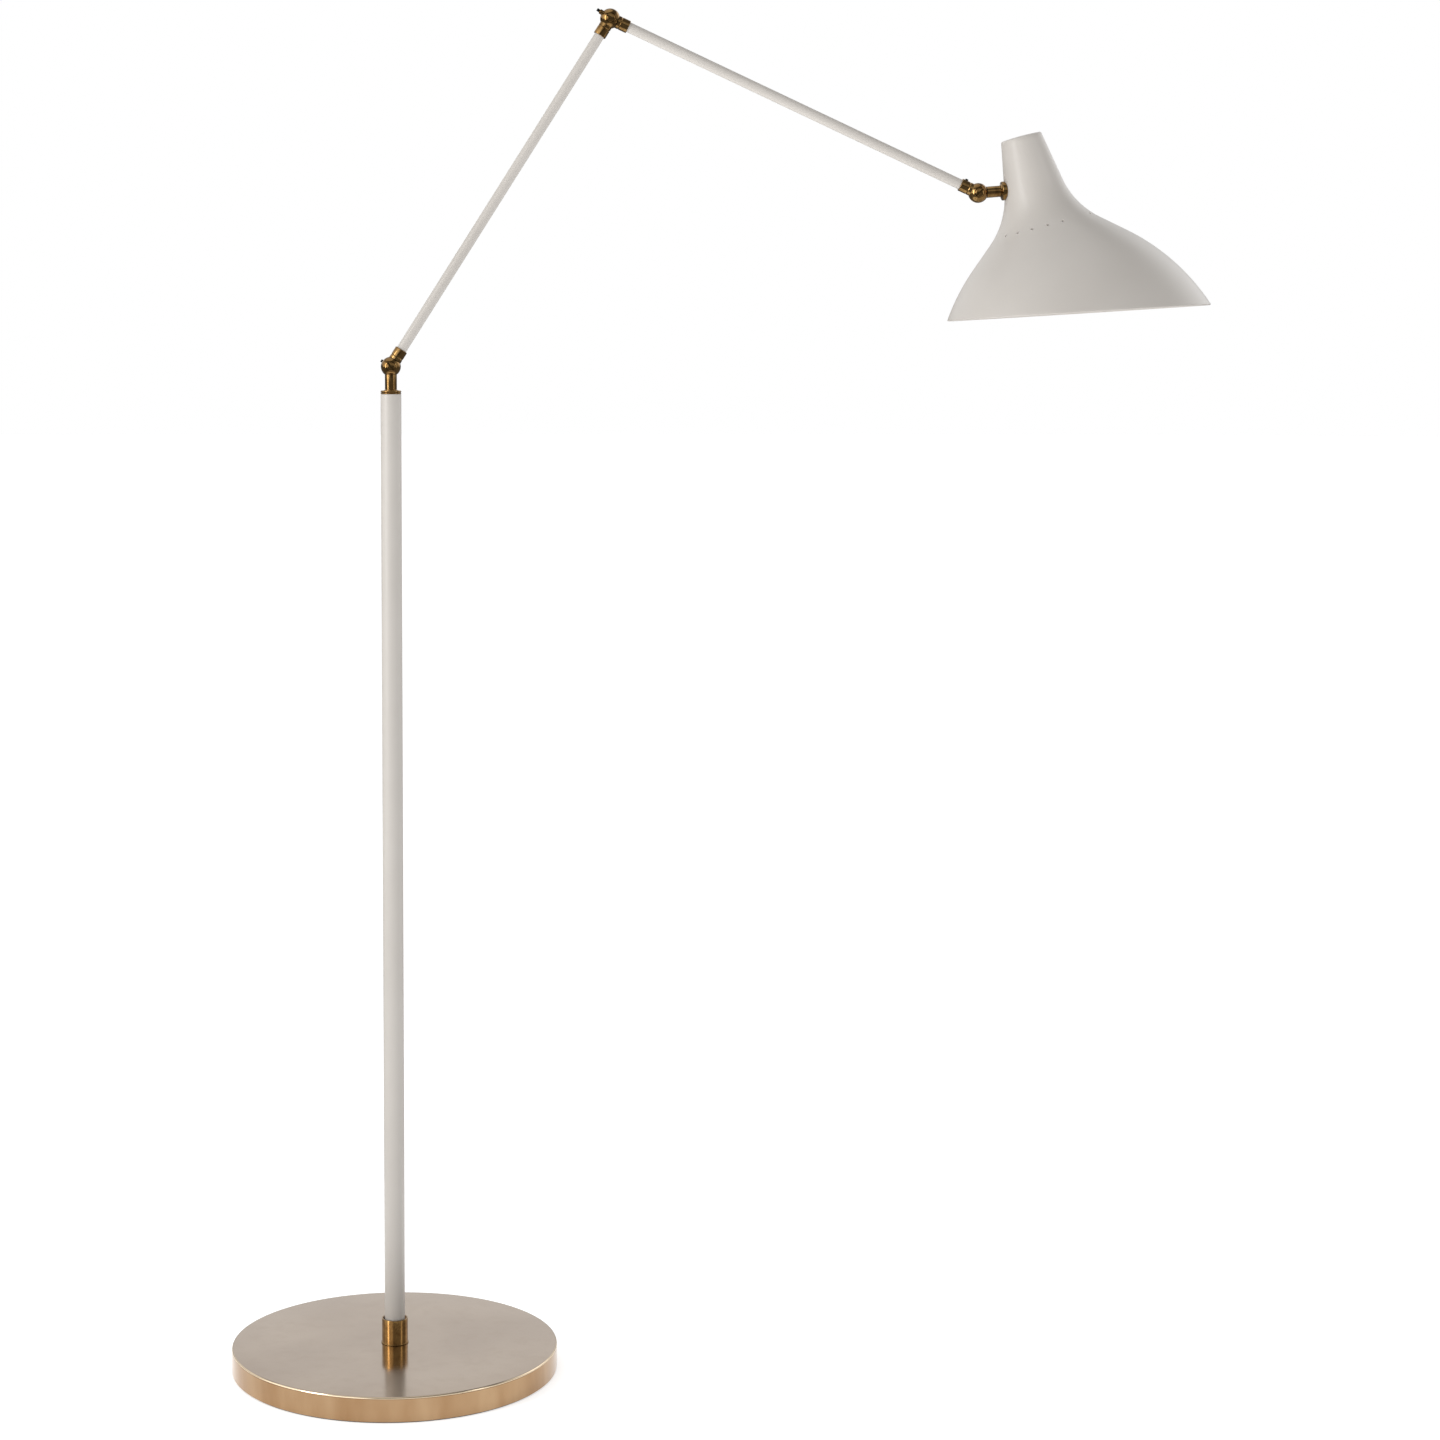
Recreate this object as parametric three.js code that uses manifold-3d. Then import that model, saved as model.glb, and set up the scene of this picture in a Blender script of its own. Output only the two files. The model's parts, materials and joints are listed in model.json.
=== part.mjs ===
// Adjustable arm floor lamp: a weighted round base, a pole, two arm tubes joined by friction ball
// knuckles, and a bell-shaped shade. Millimetres, +Z up. The origin is on the floor, under the pole.
// The arm lies in the XZ plane, reaching towards +X.
import * as THREE from 'three';
import { mergeVertices } from 'three/addons/utils/BufferGeometryUtils.js';
import Module from 'manifold-3d';

const wasm = await Module();
wasm.setup();

// ---------- Driving dimensions ----------

// Base: a cast weight on a felt pad, inside a spun cover.
const BASE_RADIUS = 152.4;
const BASE_TOP = 24;
const PAD_THICKNESS = 2;
const COVER_WALL = 1.4;
const COVER_FOOT = 1.2;
const COVER_EDGE_RADIUS = 1.5;
const COVER_GROOVE_DEPTH = 0.5;
const COVER_GROOVE_HEIGHT = 0.7;
const ROD_RADIUS = 4.9;
const ROD_BORE = 3.4;
const ROD_GRIP = 20;
const NUT_RECESS_RADIUS = 17;
const NUT_RECESS_DEPTH = 9;
const NUT_RECESS_CLEARANCE = 2;
const BASE_WASHER_THICKNESS = 2;
const BASE_NUT_HEIGHT = 5;
const BASE_NUT_FLATS = 17;
const CORD_HEIGHT = 9;
const CORD_HOLE_RADIUS = 4;
const CORD_BORE_RADIUS = 2.6;
const GROMMET_LIP = 2.2;

// Pole, its collar at the foot and its cap at the top.
const COLLAR_RADIUS = 12.2;
const COLLAR_HEIGHT = 23.6;
const COLLAR_LIP_WALL = 1.3;
const COLLAR_LIP_DEPTH = 3.5;
const COLLAR_BEAD = 0.6;
const POLE_RADIUS = 9.5;
const POLE_WALL = 1.2;
const POLE_TOP = 914;
const PLUG_HEIGHT = 16;
const PLUG_LIFT = 2;
const CAP_THICKNESS = 4;
const CAP_SPIGOT = 12;
const FLEX_RADIUS = 3;
const FLEX_END_GAP = 2;

// The cap's beaded edge: how far in from the pole's radius, and at what share of the cap's height.
const CAP_EDGE = [[0.5, 0], [0.1, 0.15], [0.5, 0.35], [0, 0.55], [0.4, 0.8]];
const CAP_TOP_LEDGE = 1;

// Friction ball knuckle: two hollow half balls on one screw, with the hinge axis along Y.
const BALL_RADIUS = 9.2;
const BALL_CAVITY = 6.9;
const SPLIT_GAP = 1.2;
const FRICTION_RING_THICKNESS = 0.6;
const FRICTION_RING_WIDTH = 2;
const SCREW_RADIUS = 2;
const SCREW_BOSS_RADIUS = 3.6;
const SCREW_RECESS_RADIUS = 4.4;
const SCREW_RECESS_FLOOR = 5.8;
const RECESS_WALL = 1.4;
const SCREW_HEAD_RADIUS = 4;
const SCREW_HEAD_HEIGHT = 2.4;
const SCREW_HEAD_DOME = 0.9;
const DOME_SHOULDER = 0.6;
const DOME_RISE = 0.8;
const SCREW_SLOT_WIDTH = 1;
const SCREW_SLOT_DEPTH = 1.2;
const SPRING_WASHER_THICKNESS = 0.6;
const KNUCKLE_NUT_HEIGHT = 2;
const SWEEP_CLEARANCE = 0.5;

// Swivel stem under the first ball.
const SWIVEL_STEM_RADIUS = 5.5;
const SWIVEL_STEM_REACH = 21.2;
const SPINDLE_RADIUS = 4;
const SPINDLE_TAIL = 3;
const SWIVEL_WASHER_THICKNESS = 1.6;
const SWIVEL_WASHER_CLEARANCE = 1;
const SWIVEL_NUT_HEIGHT = 4;
const SWIVEL_NUT_FLATS = 11.5;

// Arms. A bend is the turn from the piece below to the piece above it, towards +X.
const ARM_LENGTH = 377;
const ARM_RADIUS = 4.75;
const ARM_WALL = 0.9;
const SLEEVE_RADIUS = 6;
const SLEEVE_REACH = 18.5;
const SLEEVE_GRIP = 7.5;
const SLEEVE_BEVEL = 0.5;
const ARM_FLEX_RADIUS = 2.2;
const LOWER_BEND = 32.4;
const ELBOW_BEND = 82.3;
const TENSION_SCREW_RADIUS = 1.4;
const TENSION_SCREW_PROUD = 1.5;
const ELBOW_BOSS_RADIUS = 2.3;
const ELBOW_BOSS_PROUD = 2.4;
const ELBOW_SCREW_PROUD = 3;
const SET_SCREW_RADIUS = 1.5;
const SET_SCREW_PROUD = 1.1;

// Head: the stem is square to the neck's wall, and the shade's own axis leans by SHADE_TILT.
const SHADE_TILT = 15;
const HEAD_STEM_RADIUS = 5.25;
const HEAD_STEM_REACH = 20.6;
const NECK_WASHER_RADIUS = 8.8;
const NECK_WASHER_THICKNESS = 4;
const NECK_WASHER_BEVEL = 1.2;
const NECK_WASHER_LEDGE = 0.6;
const NECK_NUT_HEIGHT = 4;
const NECK_NUT_FLATS = 11.5;
const SPIGOT_TAIL = 1;

// Shade, a turned shape along its own axis S, measured from the top of the neck.
const SHADE_WALL = 1;
const NECK_TOP_RADIUS = 18.8;
const NECK_SLOPE = 10.4;
const NECK_LENGTH = 47;
const NECK_CROWN = 0.8;
const NECK_EDGE_RADIUS = 1.2;
const STEM_STATION = 44.4;
const FLARE_SLOPE = 49;
const FLARE_LENGTH = 43;
const CONE_LENGTH = 18;
const RIM_SLOPE = 18;
const BELL_LENGTH = 88;
const RIM_CENTRE = 169.2;
const RIM_TILT = 11.4;
const VENT_RADIUS = 1.3;
const VENT_STATION = 84.5;
const VENT_GROUPS = 3;
const VENTS_PER_GROUP = 5;
const VENT_PITCH = 18;
const VENT_GROUP_OFFSET = -26;

// Lamp holder and bulb, on the shade's axis.
const BRACKET_THICKNESS = 1.5;
const BRACKET_WIDTH = 14;
const BRACKET_STATION = 10;
const BRACKET_WALL_GAP = 1.6;
const BRACKET_TAIL = 6.5;
const BRACKET_LIP = 4;
const HOLDER_RADIUS = 15.2;
const HOLDER_LENGTH = 39;
const HOLDER_CAP_HEIGHT = 8;
const HOLDER_CAP_CROWN = 10.6;
const HOLDER_CAP_SHOULDER = 3.2;
const HOLDER_CAP_CEILING = 4;
const HOLDER_CAP_WALL = 2;
const HOLDER_FLOOR_THICKNESS = 4;
const HOLDER_NUT_HEIGHT = 3.4;
const HOLDER_NUT_FLATS = 14;
const HOLDER_ROD_GRIP = 6.4;
const HOLDER_ROD_PROUD = 0.6;
const SHELL_RADIUS = 13.7;
const SHELL_WALL = 0.4;
const SHELL_INSET = 2;
const CONTACT_RADIUS = 3.2;
const CONTACT_HEIGHT = 3;
const BULB_CAP_RADIUS = 13;
const BULB_CAP_LENGTH = 24;
const BULB_RADIUS = 30;
const BULB_LENGTH = 84;
const BULB_JOIN_ANGLE = -42;
const BULB_WAIST_SHARE = 0.22;
const BULB_WAIST_SPREAD = 2;
const GLASS_WALL = 1;
const GLASS_FIT = 0.6;

// Clearances, and how far a cutting shape runs past what it cuts.
const FIT = 0.1;
const FACE_GAP = 0.3;
const CUT = 1;
const MERGE_DISTANCE = 1e-4;

// How finely round shapes are divided.
const ROUND_LARGE = 44;
const ROUND_MEDIUM = 24;
const ROUND_BALL = 20;
const ROUND_SMALL = 16;
const ROUND_TINY = 10;
const ROUND_VENT = 8;

// ---------- Helpers ----------

const rad = THREE.MathUtils.degToRad;
const sinOf = (degrees) => Math.sin(rad(degrees));
const cosOf = (degrees) => Math.cos(rad(degrees));

// A three.js geometry as a closed solid, without its zero-area triangles.
function solid(geometry) {
  const bare = geometry.index ? geometry.clone() : mergeVertices(geometry.clone());
  bare.deleteAttribute('normal');
  bare.deleteAttribute('uv');
  const merged = mergeVertices(bare, MERGE_DISTANCE);
  const index = merged.index.array;
  const triangles = [];
  for (let i = 0; i < index.length; i += 3) {
    const [a, b, c] = [index[i], index[i + 1], index[i + 2]];
    if (a !== b && b !== c && c !== a) triangles.push(a, b, c);
  }
  return new wasm.Manifold(new wasm.Mesh({
    numProp: 3,
    vertProperties: new Float32Array(merged.attributes.position.array),
    triVerts: new Uint32Array(triangles),
  }));
}

function geometryOf(body) {
  const mesh = body.getMesh();
  const geometry = new THREE.BufferGeometry();
  geometry.setAttribute('position', new THREE.BufferAttribute(mesh.vertProperties, 3));
  geometry.setIndex(new THREE.BufferAttribute(mesh.triVerts, 1));
  geometry.computeVertexNormals();
  return geometry;
}

// A solid of revolution about Z. The profile is [radius, height] pairs, counterclockwise.
function turned(profile, segments = ROUND_MEDIUM) {
  const loop = profile.map(([r, z]) => new THREE.Vector2(Math.max(r, 0), z));
  loop.push(loop[0].clone());
  const geometry = new THREE.LatheGeometry(loop, segments);
  geometry.rotateX(Math.PI / 2);
  return solid(geometry);
}

function rod(radius, low, high, segments = ROUND_SMALL) {
  return turned([[0, low], [radius, low], [radius, high], [0, high]], segments);
}

function ring(inner, outer, low, high, segments = ROUND_SMALL) {
  return turned([[inner, low], [outer, low], [outer, high], [inner, high]], segments);
}

function block(lowCorner, highCorner) {
  const size = highCorner.map((value, axis) => value - lowCorner[axis]);
  const centre = highCorner.map((value, axis) => (value + lowCorner[axis]) / 2);
  return solid(new THREE.BoxGeometry(...size).translate(...centre));
}

// A hexagon nut along Z, with a chamfered top and a bore.
function hexNut(flats, bore, low, high) {
  const corner = flats / 2 / cosOf(30);
  const prism = new THREE.CylinderGeometry(corner, corner, high - low, 6);
  prism.rotateX(Math.PI / 2);
  prism.translate(0, 0, (low + high) / 2);
  return solid(prism).subtract(rod(bore, low - CUT, high + CUT));
}

// Points of an arc in a profile, from one angle to another, in degrees.
function arc(centreR, centreZ, radius, from, to, steps) {
  const points = [];
  for (let i = 0; i <= steps; i += 1) {
    const angle = from + ((to - from) * i) / steps;
    points.push([centreR + radius * cosOf(angle), centreZ + radius * sinOf(angle)]);
  }
  return points;
}

function finish(colour, roughness, metalness) {
  return () => new THREE.MeshStandardMaterial({ color: colour, roughness, metalness });
}

const paint = finish(0xd9d4cb, 0.45, 0);
const antiqueBrass = finish(0x7a5a2e, 0.25, 1);
const baseBrass = finish(0xb09a86, 0.4, 1);
const castIron = finish(0x3a3a3c, 0.8, 1);
const steel = finish(0xa8a8a8, 0.35, 1);
const darkSteel = finish(0x22241f, 0.45, 1);
const brightBrass = finish(0xc9a04a, 0.3, 1);
const felt = finish(0x2c2a28, 0.95, 0);
const rubber = finish(0x1b1a19, 0.8, 0);
const fibre = finish(0x6b3a24, 0.7, 0);
const phenolic = finish(0x191817, 0.4, 0);
const flexSheath = finish(0xe6e2d8, 0.5, 0);
const frostedGlass = finish(0xf4f1ea, 0.3, 0);

function add(group, name, body, look) {
  const mesh = new THREE.Mesh(geometryOf(body), look());
  mesh.name = name;
  group.add(mesh);
}

// ---------- Base and pole (body: stand) ----------

const rodFoot = PAD_THICKNESS + 1;
const rodTop = BASE_TOP + ROD_GRIP;
const weightTop = BASE_TOP - COVER_WALL;
const recessTop = PAD_THICKNESS + NUT_RECESS_DEPTH;
const coverInside = BASE_RADIUS - COVER_WALL;
const poleBore = POLE_RADIUS - POLE_WALL;
const knuckleHeight = POLE_TOP + CAP_THICKNESS + FIT + SWIVEL_STEM_REACH;
const clampedHeight = CAP_THICKNESS + CAP_SPIGOT + SWIVEL_WASHER_THICKNESS + SWIVEL_NUT_HEIGHT;
const spindleReach = SWIVEL_STEM_REACH + clampedHeight + SPINDLE_TAIL;

function basePad() {
  return rod(coverInside - FACE_GAP, 0, PAD_THICKNESS, ROUND_LARGE);
}

function baseWeight() {
  const outer = coverInside - FACE_GAP;
  const bore = ROD_RADIUS + FIT;
  const body = turned([
    [bore, recessTop],
    [NUT_RECESS_RADIUS, recessTop],
    [NUT_RECESS_RADIUS, PAD_THICKNESS],
    [outer, PAD_THICKNESS],
    [outer, weightTop],
    [bore, weightTop],
  ], ROUND_LARGE);
  const half = CORD_HOLE_RADIUS + GROMMET_LIP;
  return body.subtract(block([-half, 0, PAD_THICKNESS - CUT], [half, BASE_RADIUS, CORD_HEIGHT + half]));
}

function baseCover() {
  const groove = BASE_TOP - COVER_EDGE_RADIUS;
  const hole = ROD_RADIUS + FIT;
  const body = turned([
    [BASE_RADIUS - COVER_WALL / 2, COVER_FOOT],
    [BASE_RADIUS, COVER_FOOT + COVER_WALL / 2],
    [BASE_RADIUS, groove - COVER_GROOVE_HEIGHT],
    [BASE_RADIUS - COVER_GROOVE_DEPTH, groove - COVER_GROOVE_HEIGHT / 2],
    ...arc(BASE_RADIUS - COVER_EDGE_RADIUS, groove, COVER_EDGE_RADIUS, 0, 90, 3),
    [hole, BASE_TOP],
    [hole, weightTop],
    [coverInside, weightTop],
    [coverInside, COVER_FOOT],
  ], ROUND_LARGE);
  const cordHole = rod(CORD_HOLE_RADIUS, coverInside - CUT, BASE_RADIUS + CUT).rotate([-90, 0, 0]);
  return body.subtract(cordHole.translate([0, 0, CORD_HEIGHT]));
}

// The rubber bush that the flex enters the base through, at the back.
function cordGrommet() {
  const inner = coverInside - FACE_GAP - GROMMET_LIP;
  const outer = BASE_RADIUS + GROMMET_LIP;
  const barrel = CORD_HOLE_RADIUS - FIT;
  const lip = CORD_HOLE_RADIUS + GROMMET_LIP - FACE_GAP;
  const body = turned([
    [CORD_BORE_RADIUS, inner],
    [lip, inner],
    [lip, coverInside - FACE_GAP * 2],
    [barrel, coverInside - FACE_GAP * 2],
    [barrel, BASE_RADIUS + FACE_GAP],
    [lip, BASE_RADIUS + FACE_GAP],
    [lip - GROMMET_LIP / 2, outer],
    [CORD_BORE_RADIUS, outer],
  ]);
  return body.rotate([-90, 0, 0]).translate([0, 0, CORD_HEIGHT]);
}

function baseCollar() {
  const top = BASE_TOP + COLLAR_HEIGHT;
  const bore = POLE_RADIUS + FIT;
  const bead = COLLAR_RADIUS + COLLAR_BEAD;
  const lip = COLLAR_RADIUS - COLLAR_LIP_WALL;
  return turned([
    [bore, BASE_TOP],
    [COLLAR_RADIUS, BASE_TOP],
    [bead, BASE_TOP + COLLAR_BEAD],
    [COLLAR_RADIUS, BASE_TOP + 2 * COLLAR_BEAD],
    [COLLAR_RADIUS, top - FACE_GAP],
    [COLLAR_RADIUS - FACE_GAP, top],
    [lip, top],
    [lip, top - COLLAR_LIP_DEPTH],
    [bore, top - COLLAR_LIP_DEPTH],
  ]);
}

function poleCap() {
  const bore = SPINDLE_RADIUS + FIT;
  return turned([
    [bore, POLE_TOP - CAP_SPIGOT],
    [poleBore - FIT, POLE_TOP - CAP_SPIGOT],
    [poleBore - FIT, POLE_TOP],
    ...CAP_EDGE.map(([inset, share]) => [POLE_RADIUS - inset, POLE_TOP + CAP_THICKNESS * share]),
    [SWIVEL_STEM_RADIUS + CAP_TOP_LEDGE, POLE_TOP + CAP_THICKNESS],
    [bore, POLE_TOP + CAP_THICKNESS],
  ]);
}

function stand() {
  const group = new THREE.Group();
  const washerLow = recessTop - BASE_WASHER_THICKNESS;
  const threadBore = ROD_RADIUS + FIT;
  add(group, 'base_pad', basePad(), felt);
  add(group, 'base_weight', baseWeight(), castIron);
  add(group, 'base_cover', baseCover(), baseBrass);
  const washerRadius = NUT_RECESS_RADIUS - NUT_RECESS_CLEARANCE;
  add(group, 'base_washer', ring(threadBore, washerRadius, washerLow, recessTop), steel);
  add(group, 'base_locknut',
    hexNut(BASE_NUT_FLATS, threadBore, washerLow - BASE_NUT_HEIGHT, washerLow), steel);
  add(group, 'base_rod', ring(ROD_BORE, ROD_RADIUS, rodFoot, rodTop), steel);
  add(group, 'cord_grommet', cordGrommet(), rubber);
  add(group, 'base_collar', baseCollar(), antiqueBrass);
  const plugLow = BASE_TOP + PLUG_LIFT;
  add(group, 'pole_foot_plug', ring(threadBore, poleBore - FIT, plugLow, plugLow + PLUG_HEIGHT), steel);
  add(group, 'pole_tube', ring(poleBore, POLE_RADIUS, BASE_TOP + FIT, POLE_TOP, ROUND_MEDIUM), paint);
  add(group, 'pole_cap', poleCap(), antiqueBrass);
  const spindleEnd = knuckleHeight - spindleReach;
  const flex = rod(FLEX_RADIUS, rodTop + FLEX_END_GAP, spindleEnd - FLEX_END_GAP, ROUND_TINY);
  add(group, 'flex_in_pole', flex, flexSheath);
  return group;
}

// ---------- Ball knuckle pieces, about a ball centre at the origin ----------

// A half ball on one side of the split plane: side -1 is the front (-Y), +1 is the back. It is hollow
// round its screw boss, and its outer end has a recess for the screw's head or nut.
function halfBall(side) {
  const face = SPLIT_GAP / 2;
  const edgeAngle = THREE.MathUtils.radToDeg(Math.asin(face / BALL_RADIUS));
  const recessAngle = THREE.MathUtils.radToDeg(Math.acos(SCREW_RECESS_RADIUS / BALL_RADIUS));
  const innerEdge = THREE.MathUtils.radToDeg(Math.asin(face / BALL_CAVITY));
  const wallTop = SCREW_RECESS_FLOOR - RECESS_WALL;
  const innerTop = THREE.MathUtils.radToDeg(Math.asin(wallTop / BALL_CAVITY));
  const profile = [
    ...arc(0, 0, BALL_RADIUS, edgeAngle, recessAngle, 5),
    [SCREW_RECESS_RADIUS, SCREW_RECESS_FLOOR],
    [SCREW_RADIUS + FIT, SCREW_RECESS_FLOOR],
    [SCREW_RADIUS + FIT, face],
    [SCREW_BOSS_RADIUS, face],
    [SCREW_BOSS_RADIUS, wallTop],
    ...arc(0, 0, BALL_CAVITY, innerTop, innerEdge, 2),
  ];
  return turned(profile, ROUND_BALL).rotate([side * -90, 0, 0]);
}

function ball(radius) {
  return turned(arc(0, 0, radius, -90, 90, 9), ROUND_BALL);
}

// Joins a stem along +Z to a half ball, and cuts it clear of the other half's sweep.
function knuckleHalf(side, stemProfile, bore, reach) {
  const wallMiddle = (BALL_RADIUS + BALL_CAVITY) / 2;
  const sweep = ball(BALL_RADIUS + SWEEP_CLEARANCE);
  const far = BALL_RADIUS * 2;
  const face = (side * SPLIT_GAP) / 2;
  const otherSide = side < 0 ? block([-far, face, -far], [far, far, far])
    : block([-far, -far, -far], [far, face, far]);
  const stem = turned(stemProfile, ROUND_SMALL)
    .subtract(ball(wallMiddle))
    .subtract(sweep.intersect(otherSide));
  return halfBall(side).add(stem).subtract(rod(bore, BALL_CAVITY - CUT, reach + CUT, ROUND_TINY));
}

// A half ball with the sleeve that holds an arm tube.
function sleeveHalf(side) {
  const body = knuckleHalf(side, [
    [0, 0],
    [SLEEVE_RADIUS, 0],
    [SLEEVE_RADIUS, SLEEVE_REACH - SLEEVE_BEVEL],
    [SLEEVE_RADIUS - SLEEVE_BEVEL, SLEEVE_REACH],
    [0, SLEEVE_REACH],
  ], ARM_FLEX_RADIUS + FIT, SLEEVE_REACH);
  return body.subtract(rod(ARM_RADIUS + FIT, SLEEVE_REACH - SLEEVE_GRIP, SLEEVE_REACH + CUT));
}

// The hinge screw, its head at the front, with a straight slot.
function hingeScrew() {
  const headFace = SCREW_RECESS_FLOOR + FACE_GAP;
  const tip = SCREW_RECESS_FLOOR + FACE_GAP + SPRING_WASHER_THICKNESS + KNUCKLE_NUT_HEIGHT + FIT;
  const top = headFace + SCREW_HEAD_HEIGHT;
  const body = turned([
    [0, -tip],
    [SCREW_RADIUS, -tip],
    [SCREW_RADIUS, headFace],
    [SCREW_HEAD_RADIUS, headFace],
    [SCREW_HEAD_RADIUS, top - SCREW_HEAD_DOME],
    [SCREW_HEAD_RADIUS * DOME_SHOULDER, top - SCREW_HEAD_DOME * (1 - DOME_RISE)],
    [0, top],
  ]);
  const half = SCREW_SLOT_WIDTH / 2;
  const slot = block([-BALL_RADIUS, -half, top - SCREW_SLOT_DEPTH], [BALL_RADIUS, half, top + CUT]);
  return body.subtract(slot).rotate([90, 0, 0]);
}

function frictionRing() {
  const half = FRICTION_RING_THICKNESS / 2;
  const outer = BALL_RADIUS - FACE_GAP;
  return ring(outer - FRICTION_RING_WIDTH, outer, -half, half).rotate([90, 0, 0]);
}

function springWasher() {
  const low = SCREW_RECESS_FLOOR + FACE_GAP;
  const bore = SCREW_RADIUS + FIT;
  return ring(bore, SCREW_HEAD_RADIUS, low, low + SPRING_WASHER_THICKNESS).rotate([-90, 0, 0]);
}

function knuckleNut() {
  const low = SCREW_RECESS_FLOOR + FACE_GAP + SPRING_WASHER_THICKNESS + FIT;
  const bore = SCREW_RADIUS + FIT;
  return ring(bore, SCREW_HEAD_RADIUS, low, low + KNUCKLE_NUT_HEIGHT).rotate([-90, 0, 0]);
}

// What the fixed half of every knuckle carries.
function addHinge(group, name) {
  add(group, `${name}_hinge_screw`, hingeScrew(), antiqueBrass);
  add(group, `${name}_friction_ring`, frictionRing(), fibre);
  add(group, `${name}_spring_washer`, springWasher(), steel);
  add(group, `${name}_nut`, knuckleNut(), antiqueBrass);
}

// The small tension screw that stands out of a half ball, square to the arm, on the -X side.
const tensionSide = (SPLIT_GAP / 2 + BALL_CAVITY) / 2;
const tensionRoot = Math.sqrt(BALL_CAVITY ** 2 - tensionSide ** 2) + FACE_GAP;
const elbowBossReach = BALL_RADIUS + ELBOW_BOSS_PROUD;

function tensionHole(side, reach) {
  const hole = rod(TENSION_SCREW_RADIUS + FIT, SCREW_BOSS_RADIUS + CUT, reach + CUT, ROUND_TINY);
  return hole.rotate([0, -90, 0]).translate([0, side * tensionSide, 0]);
}

function tensionScrew(side, reach) {
  const tip = rod(TENSION_SCREW_RADIUS, tensionRoot, reach, ROUND_TINY);
  return tip.rotate([0, -90, 0]).translate([0, side * tensionSide, 0]);
}

function elbowBoss(side) {
  const boss = rod(ELBOW_BOSS_RADIUS, tensionRoot + CUT, elbowBossReach, ROUND_SMALL);
  return boss.rotate([0, -90, 0]).translate([0, side * tensionSide, 0]);
}

// ---------- Swivel (body: arm_swivel) ----------

function swivelStem() {
  const profile = [
    [0, 0],
    [SWIVEL_STEM_RADIUS, 0],
    [SWIVEL_STEM_RADIUS, SWIVEL_STEM_REACH],
    [SPINDLE_RADIUS, SWIVEL_STEM_REACH],
    [SPINDLE_RADIUS, spindleReach],
    [0, spindleReach],
  ];
  return knuckleHalf(-1, profile, ARM_FLEX_RADIUS, spindleReach).rotate([0, 180, 0]);
}

function armSwivel() {
  const group = new THREE.Group();
  group.position.z = knuckleHeight;
  add(group, 'swivel_stem', swivelStem(), antiqueBrass);
  const washerTop = POLE_TOP - CAP_SPIGOT - FIT - knuckleHeight;
  const nutTop = washerTop - SWIVEL_WASHER_THICKNESS;
  const bore = SPINDLE_RADIUS + FIT;
  const washerRadius = poleBore - SWIVEL_WASHER_CLEARANCE;
  add(group, 'swivel_washer', ring(bore, washerRadius, nutTop, washerTop), steel);
  add(group, 'swivel_nut', hexNut(SWIVEL_NUT_FLATS, bore, nutTop - SWIVEL_NUT_HEIGHT, nutTop), steel);
  addHinge(group, 'lower_knuckle');
  return group;
}

// ---------- Arms (bodies: lower_arm and upper_arm) ----------

const tubeInset = SLEEVE_REACH - SLEEVE_GRIP + FACE_GAP;

function addArm(group, name) {
  const bore = ARM_RADIUS - ARM_WALL;
  const high = ARM_LENGTH - tubeInset;
  add(group, `${name}_tube`, ring(bore, ARM_RADIUS, tubeInset, high, ROUND_SMALL), paint);
  const flex = rod(ARM_FLEX_RADIUS, tubeInset + FLEX_END_GAP, high - FLEX_END_GAP, ROUND_TINY);
  add(group, `flex_in_${name}`, flex, flexSheath);
}

function lowerArm() {
  const group = new THREE.Group();
  group.rotation.y = rad(LOWER_BEND);
  const screwReach = BALL_RADIUS + TENSION_SCREW_PROUD;
  add(group, 'lower_knuckle_arm_half', sleeveHalf(1).subtract(tensionHole(1, screwReach)), antiqueBrass);
  add(group, 'lower_knuckle_tension_screw', tensionScrew(1, screwReach), darkSteel);
  addArm(group, 'lower_arm');

  const elbow = new THREE.Group();
  elbow.position.z = ARM_LENGTH;
  const bossReach = elbowBossReach + ELBOW_SCREW_PROUD;
  const half = sleeveHalf(-1).rotate([0, 180, 0]).add(elbowBoss(-1)).subtract(tensionHole(-1, bossReach));
  add(elbow, 'elbow_fixed_half', half, antiqueBrass);
  add(elbow, 'elbow_tension_screw', tensionScrew(-1, bossReach), darkSteel);
  addHinge(elbow, 'elbow');
  group.add(elbow);
  return group;
}

function upperArm() {
  const group = new THREE.Group();
  group.position.z = ARM_LENGTH;
  group.rotation.y = rad(ELBOW_BEND);
  add(group, 'elbow_arm_half', sleeveHalf(1), antiqueBrass);
  addArm(group, 'upper_arm');

  const end = new THREE.Group();
  end.position.z = ARM_LENGTH;
  const screwStation = -(SLEEVE_REACH - SLEEVE_GRIP / 2);
  const place = (body) => body.rotate([0, -90, 0]).translate([0, 0, screwStation]);
  const hole = place(rod(SET_SCREW_RADIUS + FIT, ARM_RADIUS, SLEEVE_RADIUS + CUT, ROUND_TINY));
  const screwTop = SLEEVE_RADIUS + SET_SCREW_PROUD;
  const screw = place(rod(SET_SCREW_RADIUS, ARM_RADIUS + FACE_GAP, screwTop, ROUND_TINY));
  add(end, 'head_knuckle_fixed_half', sleeveHalf(-1).rotate([0, 180, 0]).subtract(hole), antiqueBrass);
  add(end, 'upper_arm_set_screw', screw, darkSteel);
  addHinge(end, 'head_knuckle');
  group.add(end);
  return group;
}

// ---------- Shade ----------

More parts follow.
